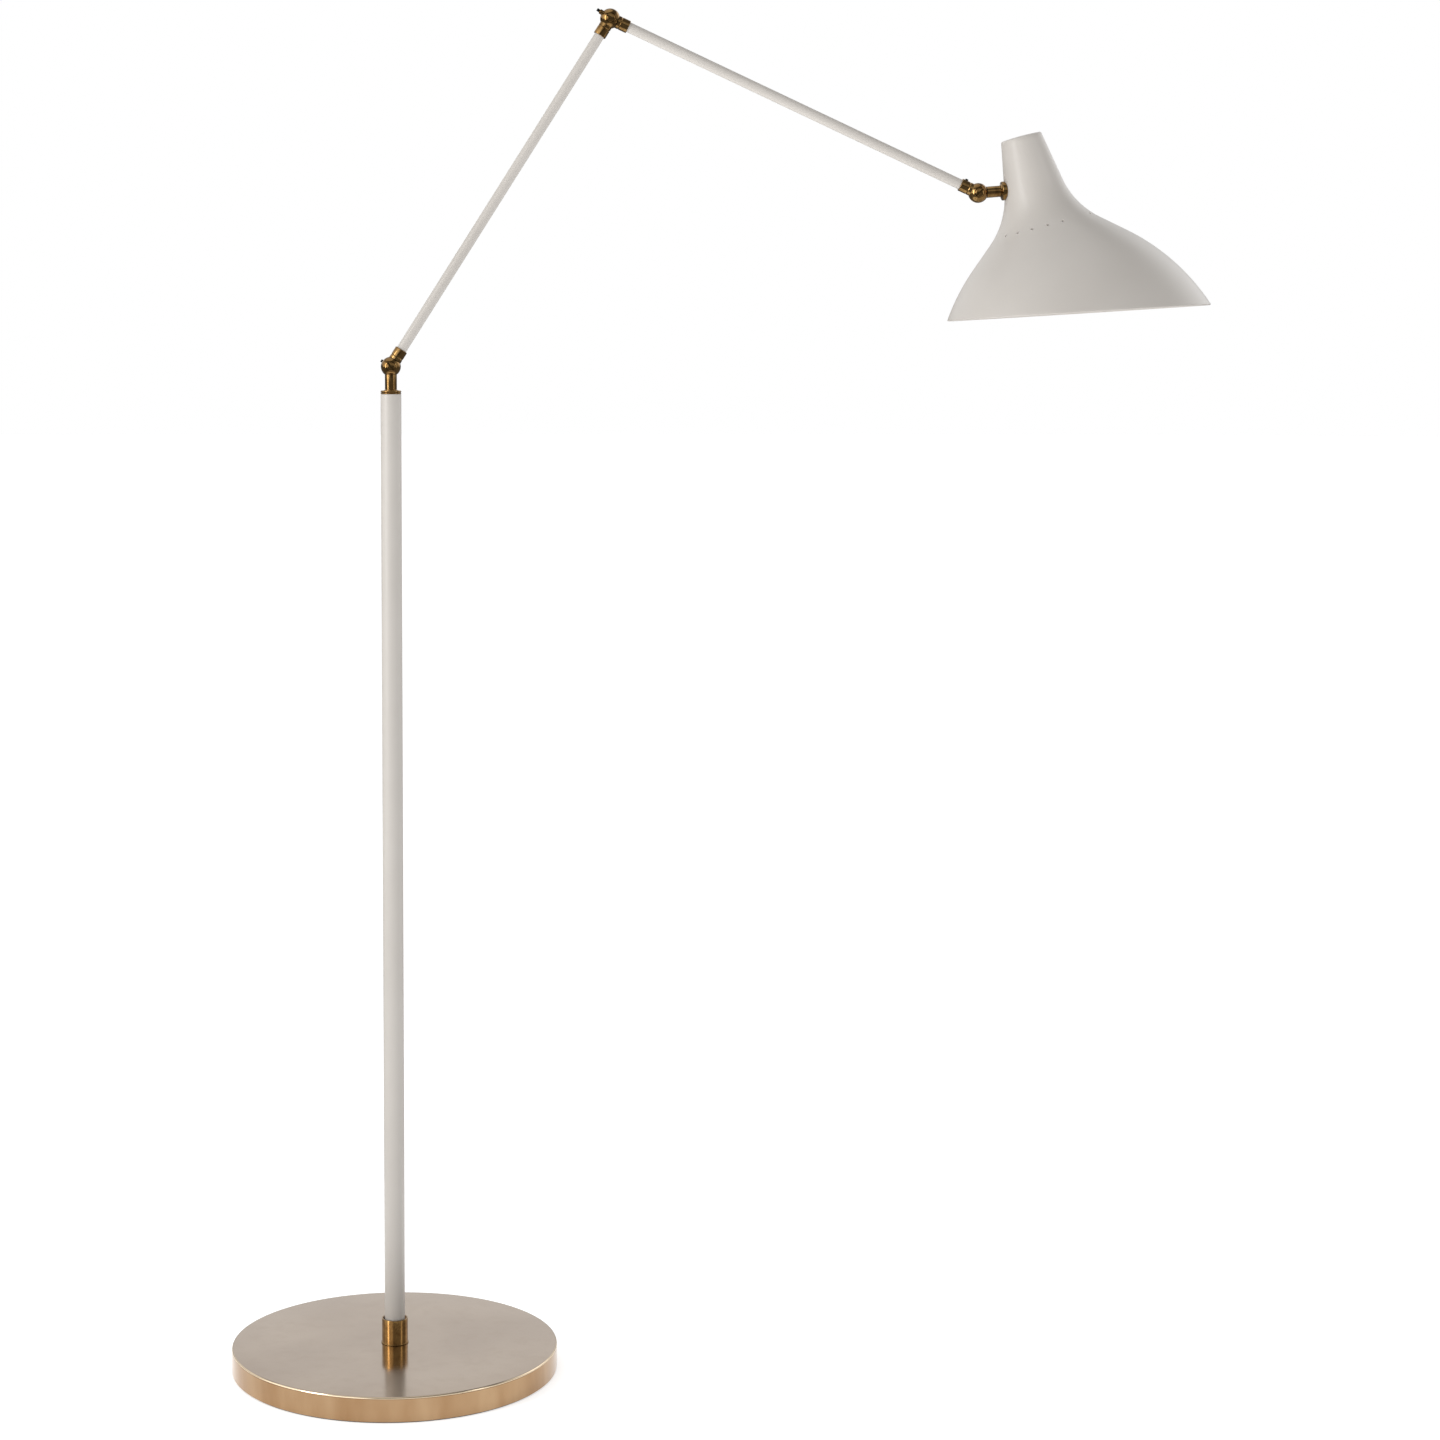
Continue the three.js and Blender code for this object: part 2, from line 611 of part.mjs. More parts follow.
// Where the neck's cone, the concave flare, the straight cone and the convex bell begin and end.
const coneStart = NECK_LENGTH + FLARE_LENGTH;
const bellStart = coneStart + CONE_LENGTH;
const shadeEnd = bellStart + BELL_LENGTH;
const neckEndRadius = NECK_TOP_RADIUS + NECK_LENGTH * Math.tan(rad(NECK_SLOPE));
const flareRadius = FLARE_LENGTH / (sinOf(FLARE_SLOPE) - sinOf(NECK_SLOPE));
const coneStartRadius = neckEndRadius + flareRadius * (cosOf(NECK_SLOPE) - cosOf(FLARE_SLOPE));
const bellStartRadius = coneStartRadius + CONE_LENGTH * Math.tan(rad(FLARE_SLOPE));
const bellArcRadius = BELL_LENGTH / (sinOf(FLARE_SLOPE) - sinOf(RIM_SLOPE));

// The shade's outer radius and wall slope, in degrees, at a station along its axis.
function shadeAt(station) {
  if (station <= NECK_LENGTH) {
    return [NECK_TOP_RADIUS + station * Math.tan(rad(NECK_SLOPE)), NECK_SLOPE];
  }
  if (station <= coneStart) {
    const sine = sinOf(NECK_SLOPE) + (station - NECK_LENGTH) / flareRadius;
    const slope = THREE.MathUtils.radToDeg(Math.asin(sine));
    return [neckEndRadius + flareRadius * (cosOf(NECK_SLOPE) - cosOf(slope)), slope];
  }
  if (station <= bellStart) {
    return [coneStartRadius + (station - coneStart) * Math.tan(rad(FLARE_SLOPE)), FLARE_SLOPE];
  }
  const sine = sinOf(FLARE_SLOPE) - (station - bellStart) / bellArcRadius;
  const slope = THREE.MathUtils.radToDeg(Math.asin(sine));
  return [bellStartRadius + bellArcRadius * (cosOf(slope) - cosOf(FLARE_SLOPE)), slope];
}

// Stations of the wall: few on the straight stretches, more on the curves.
function shadeStations() {
  const stations = [];
  const stretch = (from, to, steps) => {
    for (let i = 1; i <= steps; i += 1) stations.push(from + ((to - from) * i) / steps);
  };
  stations.push(NECK_EDGE_RADIUS);
  stretch(NECK_EDGE_RADIUS, NECK_LENGTH, 1);
  stretch(NECK_LENGTH, coneStart, 7);
  stretch(coneStart, bellStart, 1);
  stretch(bellStart, shadeEnd, 7);
  return stations;
}

// The shade stands on its own axis here: S runs along +Z, and the arm joins on the -X side.
function shadeShell() {
  const outer = [];
  const inner = [];
  shadeStations().forEach((station) => {
    const [radius, slope] = shadeAt(station);
    outer.push([radius, station]);
    inner.push([radius - SHADE_WALL * cosOf(slope), station + SHADE_WALL * sinOf(slope)]);
  });
  const topRadius = NECK_TOP_RADIUS - NECK_EDGE_RADIUS;
  inner[0] = [shadeAt(SHADE_WALL)[0] - SHADE_WALL, SHADE_WALL];
  const shell = turned([
    [0, -NECK_CROWN],
    [topRadius, 0],
    ...outer,
    ...inner.reverse(),
    [0, SHADE_WALL - NECK_CROWN],
  ], ROUND_LARGE);

  const far = shadeEnd * 2;
  const below = block([-far, -far, 0], [far, far, far])
    .rotate([0, -RIM_TILT, 0])
    .translate([0, 0, RIM_CENTRE]);
  return shell.subtract(below);
}

// Vents come in evenly spread groups on one ring. Their angles are about the shade's axis, from the
// front towards the side away from the arm.
function ventCutter() {
  const [radius, slope] = shadeAt(VENT_STATION);
  const vent = rod(VENT_RADIUS, radius - SHADE_WALL * 4, radius + SHADE_WALL * 4, ROUND_VENT)
    .translate([0, 0, -radius])
    .rotate([0, 90 + slope, 0])
    .translate([radius, 0, VENT_STATION]);
  let cutter = null;
  for (let group = 0; group < VENT_GROUPS; group += 1) {
    for (let i = 0; i < VENTS_PER_GROUP; i += 1) {
      const middle = VENT_GROUP_OFFSET + (group * 360) / VENT_GROUPS;
      const angle = middle + (i - (VENTS_PER_GROUP - 1) / 2) * VENT_PITCH;
      const placed = vent.rotate([0, 0, 90 - angle]);
      cutter = cutter ? cutter.add(placed) : placed;
    }
  }
  return cutter;
}

// ---------- Head (body: head) ----------

const [stemStationRadius, stemSlope] = shadeAt(STEM_STATION);
const headBend = 90 + stemSlope - SHADE_TILT - LOWER_BEND - ELBOW_BEND;
const neckFace = HEAD_STEM_REACH + NECK_WASHER_THICKNESS + 2 * FACE_GAP;
const legFace = neckFace + SHADE_WALL + BRACKET_WALL_GAP;
const neckNutFace = legFace + BRACKET_THICKNESS + FACE_GAP;
const spigotEnd = neckNutFace + NECK_NUT_HEIGHT + SPIGOT_TAIL;

// The shade's frame in the head's frame. The stem runs along the head's +Z. In the shade's frame +Z is
// its axis, from the neck to the rim, and +X points away from the arm.
function toShade(group) {
  const along = new THREE.Vector3(cosOf(stemSlope), 0, sinOf(stemSlope));
  const outward = new THREE.Vector3(-sinOf(stemSlope), 0, cosOf(stemSlope));
  const across = new THREE.Vector3().crossVectors(along, outward);
  group.quaternion.setFromRotationMatrix(new THREE.Matrix4().makeBasis(outward, across, along));
  group.position.set(0, 0, neckFace)
    .addScaledVector(along, -STEM_STATION)
    .addScaledVector(outward, stemStationRadius);
}

// A solid given in the head's frame, moved to the shade's frame.
function headToShade(body) {
  const group = new THREE.Group();
  toShade(group);
  group.updateMatrixWorld(true);
  const inverse = group.matrixWorld.clone().invert();
  return body.transform(inverse.elements);
}

function headStem() {
  return knuckleHalf(1, [
    [0, 0],
    [HEAD_STEM_RADIUS, 0],
    [HEAD_STEM_RADIUS, HEAD_STEM_REACH],
    [SPINDLE_RADIUS, HEAD_STEM_REACH],
    [SPINDLE_RADIUS, spigotEnd],
    [0, spigotEnd],
  ], ARM_FLEX_RADIUS, spigotEnd);
}

function neckWasher() {
  const low = HEAD_STEM_REACH + FACE_GAP;
  const high = low + NECK_WASHER_THICKNESS;
  return turned([
    [SPINDLE_RADIUS + FIT, low],
    [HEAD_STEM_RADIUS + NECK_WASHER_LEDGE, low],
    [NECK_WASHER_RADIUS, low + NECK_WASHER_BEVEL],
    [NECK_WASHER_RADIUS, high - NECK_WASHER_BEVEL],
    [NECK_WASHER_RADIUS - NECK_WASHER_LEDGE, high],
    [SPINDLE_RADIUS + FIT, high],
  ]);
}

// A bent strap: one leg lies along the neck's back wall, the other crosses over the lamp holder.
function holderBracket() {
  const wallInset = (SHADE_WALL + BRACKET_WALL_GAP) / cosOf(NECK_SLOPE);
  const thick = BRACKET_THICKNESS / cosOf(NECK_SLOPE);
  const wallU = (station) => -(shadeAt(Math.min(station, NECK_LENGTH))[0] - wallInset);
  const low = STEM_STATION + BRACKET_TAIL;
  const lowU = wallU(NECK_LENGTH) - (low - NECK_LENGTH) * Math.tan(rad(NECK_SLOPE));
  const topIn = BRACKET_STATION + BRACKET_THICKNESS;
  const tip = ROD_RADIUS + BRACKET_LIP;
  const outline = [
    [lowU, low],
    [wallU(BRACKET_STATION), BRACKET_STATION],
    [tip, BRACKET_STATION],
    [tip, topIn],
    [wallU(topIn) + thick, topIn],
    [lowU + thick, low],
  ];
  const shape = new THREE.Shape(outline.map(([u, s]) => new THREE.Vector2(u, s)));
  const strap = new THREE.ExtrudeGeometry(shape, { depth: BRACKET_WIDTH, bevelEnabled: false });
  strap.translate(0, 0, -BRACKET_WIDTH / 2);
  strap.rotateX(Math.PI / 2);
  const spigotHole = headToShade(rod(SPINDLE_RADIUS + FIT, neckFace, spigotEnd));
  return solid(strap)
    .subtract(rod(ROD_RADIUS + FIT, BRACKET_STATION - CUT, topIn + CUT))
    .subtract(spigotHole);
}

const holderTop = BRACKET_STATION + BRACKET_THICKNESS + FACE_GAP;
const holderFloor = holderTop + HOLDER_CAP_HEIGHT + FACE_GAP;
const holderMouth = holderTop + HOLDER_LENGTH;
const shellLow = holderFloor + HOLDER_FLOOR_THICKNESS;
const contactTop = shellLow + FACE_GAP;
const bulbTop = contactTop + CONTACT_HEIGHT;

function holderCap() {
  const high = holderTop + HOLDER_CAP_HEIGHT;
  return turned([
    [ROD_RADIUS + FIT, holderTop],
    [HOLDER_CAP_CROWN, holderTop],
    [HOLDER_RADIUS, holderTop + HOLDER_CAP_SHOULDER],
    [HOLDER_RADIUS, high],
    [HOLDER_RADIUS - HOLDER_CAP_WALL, high],
    [HOLDER_RADIUS - HOLDER_CAP_WALL, holderTop + HOLDER_CAP_CEILING],
    [ROD_RADIUS + FIT, holderTop + HOLDER_CAP_CEILING],
  ]);
}

function holderBody() {
  const bore = SHELL_RADIUS + FIT;
  return turned([
    [0, holderFloor],
    [HOLDER_RADIUS, holderFloor],
    [HOLDER_RADIUS, holderMouth],
    [bore, holderMouth],
    [bore, shellLow],
    [0, shellLow],
  ]);
}

// The bulb's envelope, open at the neck where its cap closes it.
function bulbGlass() {
  const start = bulbTop + BULB_CAP_LENGTH + FACE_GAP;
  const centre = start + BULB_LENGTH - BULB_RADIUS;
  const throat = BULB_CAP_RADIUS - GLASS_FIT;
  const waist = throat + BULB_WAIST_SPREAD;
  const waistAt = start + BULB_LENGTH * BULB_WAIST_SHARE;
  const inner = BULB_RADIUS - GLASS_WALL;
  return turned([
    [throat, start],
    [waist, waistAt],
    ...arc(0, centre, BULB_RADIUS, BULB_JOIN_ANGLE, 90, 7),
    ...arc(0, centre, inner, 90, BULB_JOIN_ANGLE, 7),
    [waist - GLASS_WALL, waistAt],
    [throat - GLASS_WALL, start],
  ], ROUND_BALL);
}

function bulbCap() {
  const rim = bulbTop + BULB_CAP_LENGTH;
  const bore = BULB_CAP_RADIUS - SHELL_WALL;
  return turned([
    [0, bulbTop],
    [BULB_CAP_RADIUS, bulbTop],
    [BULB_CAP_RADIUS, rim],
    [bore, rim],
    [bore, bulbTop + SHELL_WALL],
    [0, bulbTop + SHELL_WALL],
  ]);
}

function head() {
  const group = new THREE.Group();
  group.position.z = ARM_LENGTH;
  group.rotation.y = rad(headBend);
  add(group, 'head_stem', headStem(), antiqueBrass);
  add(group, 'neck_washer', neckWasher(), antiqueBrass);
  add(group, 'neck_nut',
    hexNut(NECK_NUT_FLATS, SPINDLE_RADIUS + FIT, neckNutFace, neckNutFace + NECK_NUT_HEIGHT), steel);

  const shadeGroup = new THREE.Group();
  toShade(shadeGroup);
  const stemHole = headToShade(rod(SPINDLE_RADIUS + FACE_GAP, neckFace - CUT, legFace, ROUND_TINY));
  add(shadeGroup, 'shade', shadeShell().subtract(ventCutter()).subtract(stemHole), paint);
  add(shadeGroup, 'holder_bracket', holderBracket(), steel);
  const nutTop = BRACKET_STATION - FACE_GAP;
  const nutLow = nutTop - HOLDER_NUT_HEIGHT;
  add(shadeGroup, 'holder_rod',
    ring(ROD_BORE, ROD_RADIUS, nutLow - HOLDER_ROD_PROUD, holderTop + HOLDER_ROD_GRIP), steel);
  add(shadeGroup, 'holder_nut', hexNut(HOLDER_NUT_FLATS, ROD_RADIUS + FIT, nutLow, nutTop), steel);
  add(shadeGroup, 'holder_cap', holderCap(), phenolic);
  add(shadeGroup, 'holder_body', holderBody(), phenolic);
  add(shadeGroup, 'screw_shell', ring(SHELL_RADIUS - SHELL_WALL, SHELL_RADIUS,
    shellLow + FACE_GAP, holderMouth - SHELL_INSET, ROUND_MEDIUM), brightBrass);
  add(shadeGroup, 'centre_contact',
    rod(CONTACT_RADIUS, contactTop, bulbTop - FACE_GAP, ROUND_TINY), brightBrass);
  add(shadeGroup, 'bulb_cap', bulbCap(), brightBrass);
  add(shadeGroup, 'bulb_glass', bulbGlass(), frostedGlass);
  group.add(shadeGroup);
  return group;
}

// ---------- Assembly ----------

const lamp = new THREE.Group();
const upper = upperArm();
upper.add(head());
const lower = lowerArm();
lower.add(upper);
const swivel = armSwivel();
swivel.add(lower);
lamp.add(stand(), swivel);

export default lamp;
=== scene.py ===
import json
import math

import bmesh
import bpy
from mathutils import Matrix, Vector


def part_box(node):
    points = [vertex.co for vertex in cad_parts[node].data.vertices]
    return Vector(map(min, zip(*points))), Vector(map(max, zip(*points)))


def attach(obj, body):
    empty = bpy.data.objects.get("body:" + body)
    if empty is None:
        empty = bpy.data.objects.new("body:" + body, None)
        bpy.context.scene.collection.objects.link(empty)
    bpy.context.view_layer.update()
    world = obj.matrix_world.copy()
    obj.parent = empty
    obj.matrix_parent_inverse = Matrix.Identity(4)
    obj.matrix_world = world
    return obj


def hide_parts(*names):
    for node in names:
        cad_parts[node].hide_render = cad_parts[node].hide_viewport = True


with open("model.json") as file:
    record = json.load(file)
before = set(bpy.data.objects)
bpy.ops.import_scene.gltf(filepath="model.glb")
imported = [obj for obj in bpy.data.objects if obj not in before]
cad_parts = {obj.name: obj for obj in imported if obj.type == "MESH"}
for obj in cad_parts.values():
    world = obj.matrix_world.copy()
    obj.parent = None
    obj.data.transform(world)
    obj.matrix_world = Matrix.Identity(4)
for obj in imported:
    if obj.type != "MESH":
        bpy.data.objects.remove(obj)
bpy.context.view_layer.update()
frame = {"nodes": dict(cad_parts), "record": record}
record = frame["record"]
joint_at = {joint["name"]: Vector(joint["pos_m"]) for joint in record["behaviour"]["joints"]}
body_of = {node: body for body, nodes in record["behaviour"]["bodies"].items() for node in nodes}
slot_of = {entry["node"]: entry["material_slot"] for entry in record["subparts"]}

# ---------- Sizes ----------

# Gaps between pieces: faces that meet, and pins in their bores. OVERCUT is how far a cutter runs past a face.
FACE_GAP = 0.0003
FIT = 0.0001
OVERCUT = 0.001

# Edge radii, from a crisp edge to a well rounded one.
CRISP = 0.0003
EASED = 0.0004
SOFT = 0.0006
ROUND = 0.0008

# Base and pole.
BASE_LOW, BASE_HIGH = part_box("base_cover")
BASE_RADIUS = BASE_HIGH.x
BASE_TOP = BASE_HIGH.z
BASE_FOOT = BASE_LOW.z
COVER_WALL = 0.0014
COVER_EDGE_RADIUS = 0.0015
COVER_FOOT_RADIUS = 0.0008
COVER_GROOVE = 0.0004
COVER_GROOVE_STEP = 0.0001
GROMMET_HEIGHT = 0.009
GROMMET_HOLE = 0.004
GROMMET_BORE = 0.0026
GROMMET_LIP = 0.0022
CORD_CUT = 0.006
ROD_HOLE = 0.005
PAD_THICKNESS = 0.002
PAD_EDGE = 0.0002
PAD_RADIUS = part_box("base_pad")[1].x
COLLAR_RADIUS = 0.0122
COLLAR_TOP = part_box("base_collar")[1].z
COLLAR_LIP_WALL = 0.0013
COLLAR_LIP_DEPTH = 0.0035
COLLAR_BEAD = 0.0006
POLE_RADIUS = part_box("pole_tube")[1].x
POLE_WALL = 0.0012
POLE_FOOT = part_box("pole_tube")[0].z
POLE_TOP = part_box("pole_tube")[1].z
CAP_THICKNESS = 0.004
CAP_SPIGOT = 0.012
CAP_LEDGE = 0.0006
CAP_BEAD_INSET = 0.0011
CAP_HOLLOW = 0.0012
CAP_HOLLOW_OUT = 0.0019
SPINDLE_RADIUS = 0.004

# Knuckles.
BALL_RADIUS = 0.0092
BALL_CAVITY = 0.0069
SPLIT_GAP = 0.0012
SWEEP_CLEARANCE = 0.0004
SCREW_RADIUS = 0.002
SCREW_BOSS_RADIUS = 0.0036
SCREW_RECESS_RADIUS = 0.0044
SCREW_RECESS_FLOOR = 0.0058
RECESS_WALL = 0.0014
BALL_EDGE = 0.0003
SCREW_TAIL = 0.0027
SCREW_TIP_EDGE = 0.0003
SCREW_DOME_SHARE = 0.31
SCREW_HEAD_RADIUS = 0.004
SCREW_HEAD_HEIGHT = 0.0029
SCREW_SLOT_WIDTH = 0.0017
SCREW_SLOT_DEPTH = 0.0013
SCREW_SLOT_EDGE = 0.0003
SPRING_WASHER_THICKNESS = 0.0006
NUT_HEIGHT = 0.002
NUT_NOTCH = 0.0009
NUT_NOTCH_START = 0.0028
NUT_EDGE = 0.00035
SLOT_ANGLE = {"lower_knuckle": 48, "elbow": 0, "head_knuckle": 20}
NOTCH_ANGLE = {"lower_knuckle": 25, "elbow": 70, "head_knuckle": -40}
SWIVEL_STEM_RADIUS = 0.0055
TENSION_SCREW_RADIUS = 0.0014
TENSION_SCREW_PROUD = 0.0015
TENSION_SIDE = (SPLIT_GAP / 2 + BALL_CAVITY) / 2
TENSION_ROOT = math.sqrt(BALL_CAVITY**2 - TENSION_SIDE**2) + FACE_GAP
TENSION_SLOT_WIDTH = 0.0006
TENSION_SLOT_DEPTH = 0.0007
ELBOW_BOSS_RADIUS = 0.0023
ELBOW_BOSS_EDGE = 0.0005
ELBOW_BOSS_REACH = BALL_RADIUS + 0.0024
ELBOW_SCREW_PROUD = 0.003
SET_SCREW_RADIUS = 0.0015
SET_SCREW_PROUD = 0.0011
SET_SCREW_SLOT_WIDTH = 0.0005
SET_SCREW_SLOT_DEPTH = 0.0006

# Arms.
ARM_RADIUS = 0.00475
ARM_WALL = 0.0009
SLEEVE_RADIUS = 0.006
SLEEVE_REACH = 0.0185
SLEEVE_GRIP = 0.0075
WAIST_STATION = BALL_RADIUS + 0.0012
WAIST_HALF = 0.0006
WAIST_DEPTH = 0.0005
FLEX_BORE = 0.0023

# Head and shade. The shade's stations run along its own axis, from the top of the neck.
SHADE_TILT = 15
HEAD_STEM_RADIUS = 0.00525
HEAD_STEM_REACH = 0.0206
NECK_WASHER_RADIUS = 0.0088
NECK_WASHER_THICKNESS = 0.004
NECK_WASHER_LEDGE = 0.0004
NECK_WASHER_FOOT = 0.0016
NECK_WASHER_STEP = 0.0009
NECK_WASHER_BROW = 0.0011
NECK_FACE = HEAD_STEM_REACH + NECK_WASHER_THICKNESS + 2 * FACE_GAP
SHADE_WALL = 0.001
NECK_TOP_RADIUS = 0.0188
NECK_SLOPE = 10.4
NECK_LENGTH = 0.047
NECK_CROWN = 0.0008
NECK_EDGE_RADIUS = 0.0012
STEM_STATION = 0.0444
FLARE_SLOPE = 49
FLARE_LENGTH = 0.043
CONE_LENGTH = 0.018
RIM_SLOPE = 18
BELL_LENGTH = 0.088
RIM_CENTRE = 0.1692
RIM_TILT = 11.4
RIM_BEAD = 0.0009
RIM_ROUNDS = 30
LID_GAP = 0.0005
VENT_RADIUS = 0.0013
VENT_STATION = 0.0845
VENT_GROUPS = 3
VENTS_PER_GROUP = 5
VENT_PITCH = 18
VENT_GROUP_OFFSET = -26

# Lamp holder and bulb, on the shade's axis.
BRACKET_STATION = 0.010
BRACKET_THICKNESS = 0.0015
BRACKET_WIDTH = 0.014
BRACKET_WALL_GAP = 0.0016
BRACKET_TAIL = 0.0065
BRACKET_LIP = 0.004
NECK_NUT_FACE = NECK_FACE + SHADE_WALL + BRACKET_WALL_GAP + BRACKET_THICKNESS + FACE_GAP
HOLDER_ROD_RADIUS = 0.0049
HOLDER_NUT_HEIGHT = 0.0034
HOLDER_NUT_FLATS = 0.014
NECK_NUT_HEIGHT = 0.004
NECK_NUT_FLATS = 0.0115
SPIGOT_TAIL = 0.001
NUT_FACE_SHARE = 0.98
NUT_BORE_EDGE_SHARE = 0.08
HOLDER_RADIUS = 0.0152
HOLDER_TOP = BRACKET_STATION + BRACKET_THICKNESS + FACE_GAP
HOLDER_CAP_HEIGHT = 0.008
HOLDER_CAP_SHOULDER = 0.42
HOLDER_CAP_HOLLOW = 0.5
HOLDER_CAP_WALL = 0.002
HOLDER_LENGTH = 0.039
HOLDER_FLOOR = 0.004
CONTACT_HEIGHT = 0.003
HOLDER_GROOVE = [(0.009, 0), (0.0085, 0.0006), (0.0078, 0.0006), (0.0073, 0)]
SHELL_RADIUS = 0.0137
BULB_CAP_RADIUS = 0.013
BULB_CAP_LENGTH = 0.024
THREAD_PITCH = 0.0036
THREAD_DEPTH = 0.0009
THREAD_STEPS = 16
CONTACT_END = [(0.30, 0), (0.36, 1), (0.42, 2)]
BULB_CAP_SHOULDER = 0.86
BULB_CAP_TAPER = 0.16
BULB_TOP = HOLDER_TOP + HOLDER_CAP_HEIGHT + FACE_GAP + HOLDER_FLOOR + FACE_GAP + CONTACT_HEIGHT
BULB_START = BULB_TOP + BULB_CAP_LENGTH + FACE_GAP
BULB_RADIUS = 0.030
BULB_LENGTH = 0.084
BULB_THROAT_STEP = 0.0006
BULB_JOIN_ANGLE = -42
BULB_NECK_STEPS = 20
GLASS_WALL = 0.001

# How finely round shapes are divided.
FINE = 192
TUBE_STEPS = 72
MEDIUM = 96
SMALL = 64
SHARP_ANGLE = 35
NEARLY_STRAIGHT = 88
CORNER_SHARE = 0.45
TINY = 1e-7

# ---------- Places ----------

KNUCKLE = joint_at["lower_arm_tilt"]
ELBOW = joint_at["elbow_fold"]
HEAD_KNUCKLE = joint_at["head_tilt"]
ACROSS = Vector((0, 1, 0))


def sin_of(degrees):
    return math.sin(math.radians(degrees))


def cos_of(degrees):
    return math.cos(math.radians(degrees))


def tan_of(degrees):
    return math.tan(math.radians(degrees))


def about(axis, degrees):
    return Matrix.Rotation(math.radians(degrees), 4, axis)


def place(origin, along, across=ACROSS):
    """A frame at origin with its Z along a direction and its Y across the arm's plane."""
    z = along.normalized()
    y = across.normalized()
    x = y.cross(z)
    rotation = Matrix((x, y, z)).transposed().to_4x4()
    return Matrix.Translation(origin) @ rotation


STAND = Matrix.Identity(4)
LOWER_DIRECTION = ELBOW - KNUCKLE
UPPER_DIRECTION = HEAD_KNUCKLE - ELBOW
STEM_RISE = SHADE_TILT - NECK_SLOPE
STEM_DIRECTION = Vector((cos_of(STEM_RISE), 0, sin_of(STEM_RISE)))
SWIVEL_AT = place(KNUCKLE, Vector((0, 0, 1)))
LOWER_AT = place(KNUCKLE, LOWER_DIRECTION)
LOWER_END_AT = place(ELBOW, LOWER_DIRECTION)
UPPER_AT = place(ELBOW, UPPER_DIRECTION)
UPPER_END_AT = place(HEAD_KNUCKLE, UPPER_DIRECTION)
HEAD_AT = place(HEAD_KNUCKLE, STEM_DIRECTION)
TURN_OVER = about("Y", 180)

# ---------- The shade's outline ----------

CONE_START = NECK_LENGTH + FLARE_LENGTH
BELL_START = CONE_START + CONE_LENGTH
NECK_END_RADIUS = NECK_TOP_RADIUS + NECK_LENGTH * tan_of(NECK_SLOPE)
FLARE_RADIUS = FLARE_LENGTH / (sin_of(FLARE_SLOPE) - sin_of(NECK_SLOPE))
CONE_START_RADIUS = NECK_END_RADIUS + FLARE_RADIUS * (cos_of(NECK_SLOPE) - cos_of(FLARE_SLOPE))
BELL_START_RADIUS = CONE_START_RADIUS + CONE_LENGTH * tan_of(FLARE_SLOPE)
BELL_ARC_RADIUS = BELL_LENGTH / (sin_of(FLARE_SLOPE) - sin_of(RIM_SLOPE))


def shade_at(station):
    """The shade's outer radius and its wall's slope, in degrees, at a station along its axis."""
    if station <= NECK_LENGTH:
        return NECK_TOP_RADIUS + station * tan_of(NECK_SLOPE), NECK_SLOPE
    if station <= CONE_START:
        slope = math.degrees(math.asin(sin_of(NECK_SLOPE) + (station - NECK_LENGTH) / FLARE_RADIUS))
        return NECK_END_RADIUS + FLARE_RADIUS * (cos_of(NECK_SLOPE) - cos_of(slope)), slope
    if station <= BELL_START:
        return CONE_START_RADIUS + (station - CONE_START) * tan_of(FLARE_SLOPE), FLARE_SLOPE
    slope = math.degrees(math.asin(sin_of(FLARE_SLOPE) - (station - BELL_START) / BELL_ARC_RADIUS))
    return BELL_START_RADIUS + BELL_ARC_RADIUS * (cos_of(slope) - cos_of(FLARE_SLOPE)), slope


STEM_STATION_RADIUS = shade_at(STEM_STATION)[0]
SHADE_AXIS = Vector((sin_of(SHADE_TILT), 0, -cos_of(SHADE_TILT)))
SHADE_OUTWARD = Vector((cos_of(SHADE_TILT), 0, sin_of(SHADE_TILT)))
NECK_CONTACT = HEAD_KNUCKLE + STEM_DIRECTION * NECK_FACE
SHADE_ORIGIN = NECK_CONTACT - SHADE_AXIS * STEM_STATION + SHADE_OUTWARD * STEM_STATION_RADIUS
SHADE_PLACE = place(SHADE_ORIGIN, SHADE_AXIS, -ACROSS)
STEM_IN_SHADE = SHADE_PLACE.inverted() @ HEAD_AT

# ---------- Mesh helpers ----------


def arc(centre, radius, start, end, steps):
    """Points of a profile's arc, from one angle to another, in degrees."""
    points = []
    for i in range(steps + 1):
        angle = start + (end - start) * i / steps
        points.append((centre[0] + radius * cos_of(angle), centre[1] + radius * sin_of(angle)))
    return points


def rounded(corners, radius=0, steps=4):
    """A closed profile with its corners rounded. A corner is (r, z) or (r, z, its own radius)."""
    points = []
    count = len(corners)
    for i, corner in enumerate(corners):
        here = Vector(corner[:2])
        before = Vector(corners[i - 1][:2])
        after = Vector(corners[(i + 1) % count][:2])
        own = corner[2] if len(corner) > 2 else radius
        to_before = before - here
        to_after = after - here
        if own <= 0 or here.x <= 0 or to_before.length == 0 or to_after.length == 0:
            points.append(tuple(here))
            continue
        inward = to_before.normalized()
        onward = to_after.normalized()
        half = inward.angle(onward) / 2
        if half > math.radians(NEARLY_STRAIGHT):
            points.append(tuple(here))
            continue
        reach = min(own / math.tan(half), to_before.length * CORNER_SHARE, to_after.length * CORNER_SHARE)
        first = here + inward * reach
        last = here + onward * reach
        for k in range(steps + 1):
            t = k / steps
            points.append(tuple(first * (1 - t) ** 2 + here * 2 * t * (1 - t) + last * t**2))
    return points


